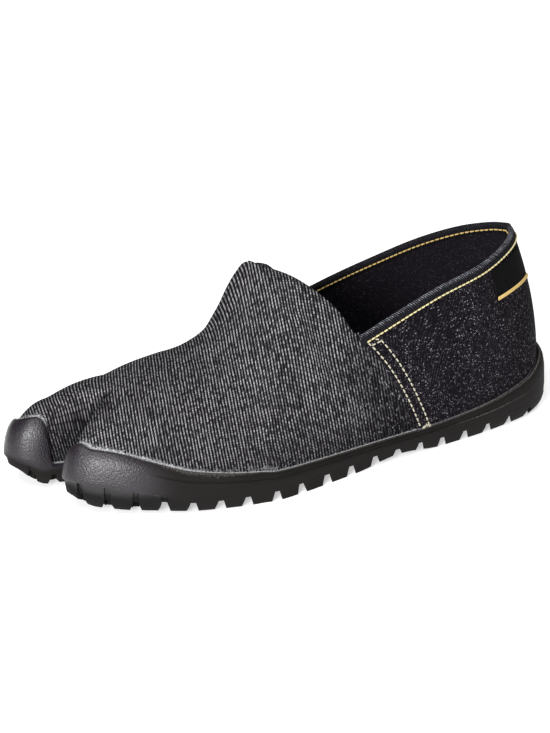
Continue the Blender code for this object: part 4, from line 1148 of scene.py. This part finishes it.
# footbed inside, its upper edge rounded: rows are further inset, drop from the top
footLook = {
    "inset": 2.7, "thick": 3.0, "edge": ((0.0, 0.7), (0.25, 0.2), (0.8, 0.0)), "merge": 0.00002,
    "dark": (0.010, 0.0095, 0.0105), "light": (0.05, 0.049, 0.052), "rough": 0.95, "bump": (0.5, 0.0003),
    "fleck": (1400.0, 3.0, 0.7), "fleckSpan": (0.45, 0.7),
}
footCloth, t, bsdf = newMaterial("footCloth")
fleck = noise(t, objectPlace(t), *footLook["fleck"])
fleckTone = remap(t, fleck, *footLook["fleckSpan"])
dress(t, bsdf, blend(t, fleckTone, footLook["dark"], footLook["light"]), footLook["rough"])
setBump(t, bsdf, fleck, *footLook["bump"])
footG = gridColumns(2)
f = soleFrame(footG)
flat = np.ones(len(footG))
footRings = [flatRing(f, -footLook["inset"] * flat, f["feather"])]
footRings += [flatRing(f, -(footLook["inset"] + further) * flat, f["feather"] + footLook["thick"] - drop)
              for further, drop in footLook["edge"]]
footBed = makePiece("footBed", np.stack(footRings, 1), loftFaces(len(footG), len(footRings)), (footCloth,),
                    merge=footLook["merge"])
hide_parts("insole")
print("footbed")

# loose ends of yarn where the vamp cloth meets the rubber: three-sided, thinner and drooping toward the tip
frayLook = {
    "outer": (1.1, 3.9), "inner": (7.1, 9.8), "outerCount": 364, "innerCount": 156, "above": (0.002, 0.022),
    "length": (0.9, 2.6), "width": 0.11, "sideways": 1.2, "upward": (0.0, 0.9), "outward": (0.1, 0.5),
    "droop": 0.35, "taper": 0.7, "points": 5, "off": 0.05, "toneScale": 700.0,
    "dark": (0.22, 0.22, 0.23), "light": (0.58, 0.58, 0.60), "rough": 0.9,
}
frayYarn, t, bsdf = newMaterial("frayYarn")
yarnTone = noise(t, objectPlace(t), frayLook["toneScale"])
dress(t, bsdf, blend(t, yarnTone, frayLook["dark"], frayLook["light"]), frayLook["rough"])
many = frayLook["outerCount"] + frayLook["innerCount"]
frayG = np.concatenate([rng.uniform(*frayLook["outer"], frayLook["outerCount"]),
                        rng.uniform(*frayLook["inner"], frayLook["innerCount"])])
frayT = np.minimum(rubberTop(frayG) + rng.uniform(*frayLook["above"], many), 0.99)
root = clothPoint(frayG, frayT, frayLook["off"])
grow = lastNormal(leaned(frayG, frayT), frayT)
runWay = unit(clothPoint(frayG + 0.01, frayT) - root)
upWay = unit(np.cross(grow, runWay))
upWay = upWay * np.sign(upWay[:, 2:3])
head = runWay * rng.normal(0, frayLook["sideways"], (many, 1))
head = head + upWay * rng.uniform(*frayLook["upward"], (many, 1))
head = unit(head + grow * rng.uniform(*frayLook["outward"], (many, 1)))
long = rng.uniform(*frayLook["length"], (many, 1))
flatWay = (unit(np.cross(head, grow)) * frayLook["width"] / 2)[:, None]
walk = np.linspace(0, 1, frayLook["points"])
spine = root[:, None] + head[:, None] * (long * walk)[..., None]
spine = spine - (grow * frayLook["droop"])[:, None] * (long * walk ** 2)[..., None]
thin = (1 - frayLook["taper"] * walk)[None, :, None]
corners = (spine - flatWay * thin, spine + flatWay * thin, spine + grow[:, None] * frayLook["width"] * thin)
yarnStart = (np.arange(many) * frayLook["points"] * 3)[:, None, None]
frayFaces = (gridFaces(frayLook["points"], 3, roundRows=True)[None] + yarnStart).reshape(-1, 4).tolist()
tip = (frayLook["points"] - 1) * 3
frayFaces += (np.array([[2, 1, 0], [tip, tip + 1, tip + 2]])[None] + yarnStart).reshape(-1, 3).tolist()
frayEnds = makePiece("frayEnds", np.stack(corners, 2), frayFaces, (frayYarn,))
print("fray")

# floor, light and camera; each light has its place, aim, size and power
stageLook = {
    "floor": (0.86, 0.86, 0.86), "floorDrift": (0.88, 0.88, 0.88), "floorRough": 0.9,
    "floorScale": 3.0, "floorHalf": 6.0, "glow": 0.50, "world": 0.12,
    "keyLight": ((0.55, 0.25, 1.05), (0.05, 0.0, 0.03), 0.7, 6.5),
    "frontLight": ((1.23, 0.99, 0.53), (0.08, 0.0, 0.03), 0.60, 33.0),
    "sideLight": ((-0.55, 0.9, 0.7), (-0.05, 0.0, 0.04), 0.8, 1.0),
    "backLight": ((-1.00, -0.35, 0.95), (-0.05, 0.0, 0.04), 0.8, 8.0),
}

floorPaper, t, bsdf = newMaterial("floorPaper")
floorTone = noise(t, objectPlace(t), stageLook["floorScale"])
floorColour = blend(t, floorTone, stageLook["floor"], stageLook["floorDrift"])
dress(t, bsdf, floorColour, stageLook["floorRough"])
bsdf.inputs["Emission Color"].default_value = (1.0, 1.0, 1.0, 1.0)
bsdf.inputs["Emission Strength"].default_value = stageLook["glow"]
floorMesh = bpy.data.meshes.new("floor")
h = stageLook["floorHalf"]
floorMesh.from_pydata([(-h, -h, 0), (h, -h, 0), (h, h, 0), (-h, h, 0)], [], [(0, 1, 2, 3)])
floorMesh.materials.append(floorPaper)
floor = bpy.data.objects.new("floor", floorMesh)
bpy.context.scene.collection.objects.link(floor)

world = bpy.data.worlds.new("studio")
world.use_nodes = True
world.node_tree.nodes["Background"].inputs["Color"].default_value = (1.0, 1.0, 1.0, 1.0)
world.node_tree.nodes["Background"].inputs["Strength"].default_value = stageLook["world"]
bpy.context.scene.world = world
bpy.context.scene.view_settings.view_transform = "Standard"

for name in ("keyLight", "frontLight", "sideLight", "backLight"):
    place, lightAim, size, power = stageLook[name]
    lamp = bpy.data.lights.new(name, "AREA")
    lamp.shape = "DISK"
    lamp.size = size
    lamp.energy = power
    light = bpy.data.objects.new(name, lamp)
    light.location = place
    light.rotation_euler = (Vector(lightAim) - Vector(place)).to_track_quat("-Z", "Y").to_euler()
    bpy.context.scene.collection.objects.link(light)

cameraLook = {
    "azimuth": 31.6, "elevation": 21.5, "distance": 1310.0, "aim": (148.2, 0.0, 42.5),
    "focalPixels": 2790.0, "frameHeight": 733.0, "sensor": 36.0,
}
turn, tilt = math.radians(cameraLook["azimuth"]), math.radians(cameraLook["elevation"])
back = Vector((math.sin(turn) * math.cos(tilt), math.cos(turn) * math.cos(tilt), math.sin(tilt)))
aim = Vector(placed(np.array([cameraLook["aim"]]))[0])
lens = bpy.data.cameras.new("camera")
lens.sensor_width = cameraLook["sensor"]
lens.lens = cameraLook["focalPixels"] / cameraLook["frameHeight"] * lens.sensor_width
camera = bpy.data.objects.new("camera", lens)
camera.location = aim + back * cameraLook["distance"] * mm
camera.rotation_euler = (-back).to_track_quat("-Z", "Y").to_euler()
bpy.context.scene.collection.objects.link(camera)
bpy.context.scene.camera = camera

bpy.context.view_layer.update()
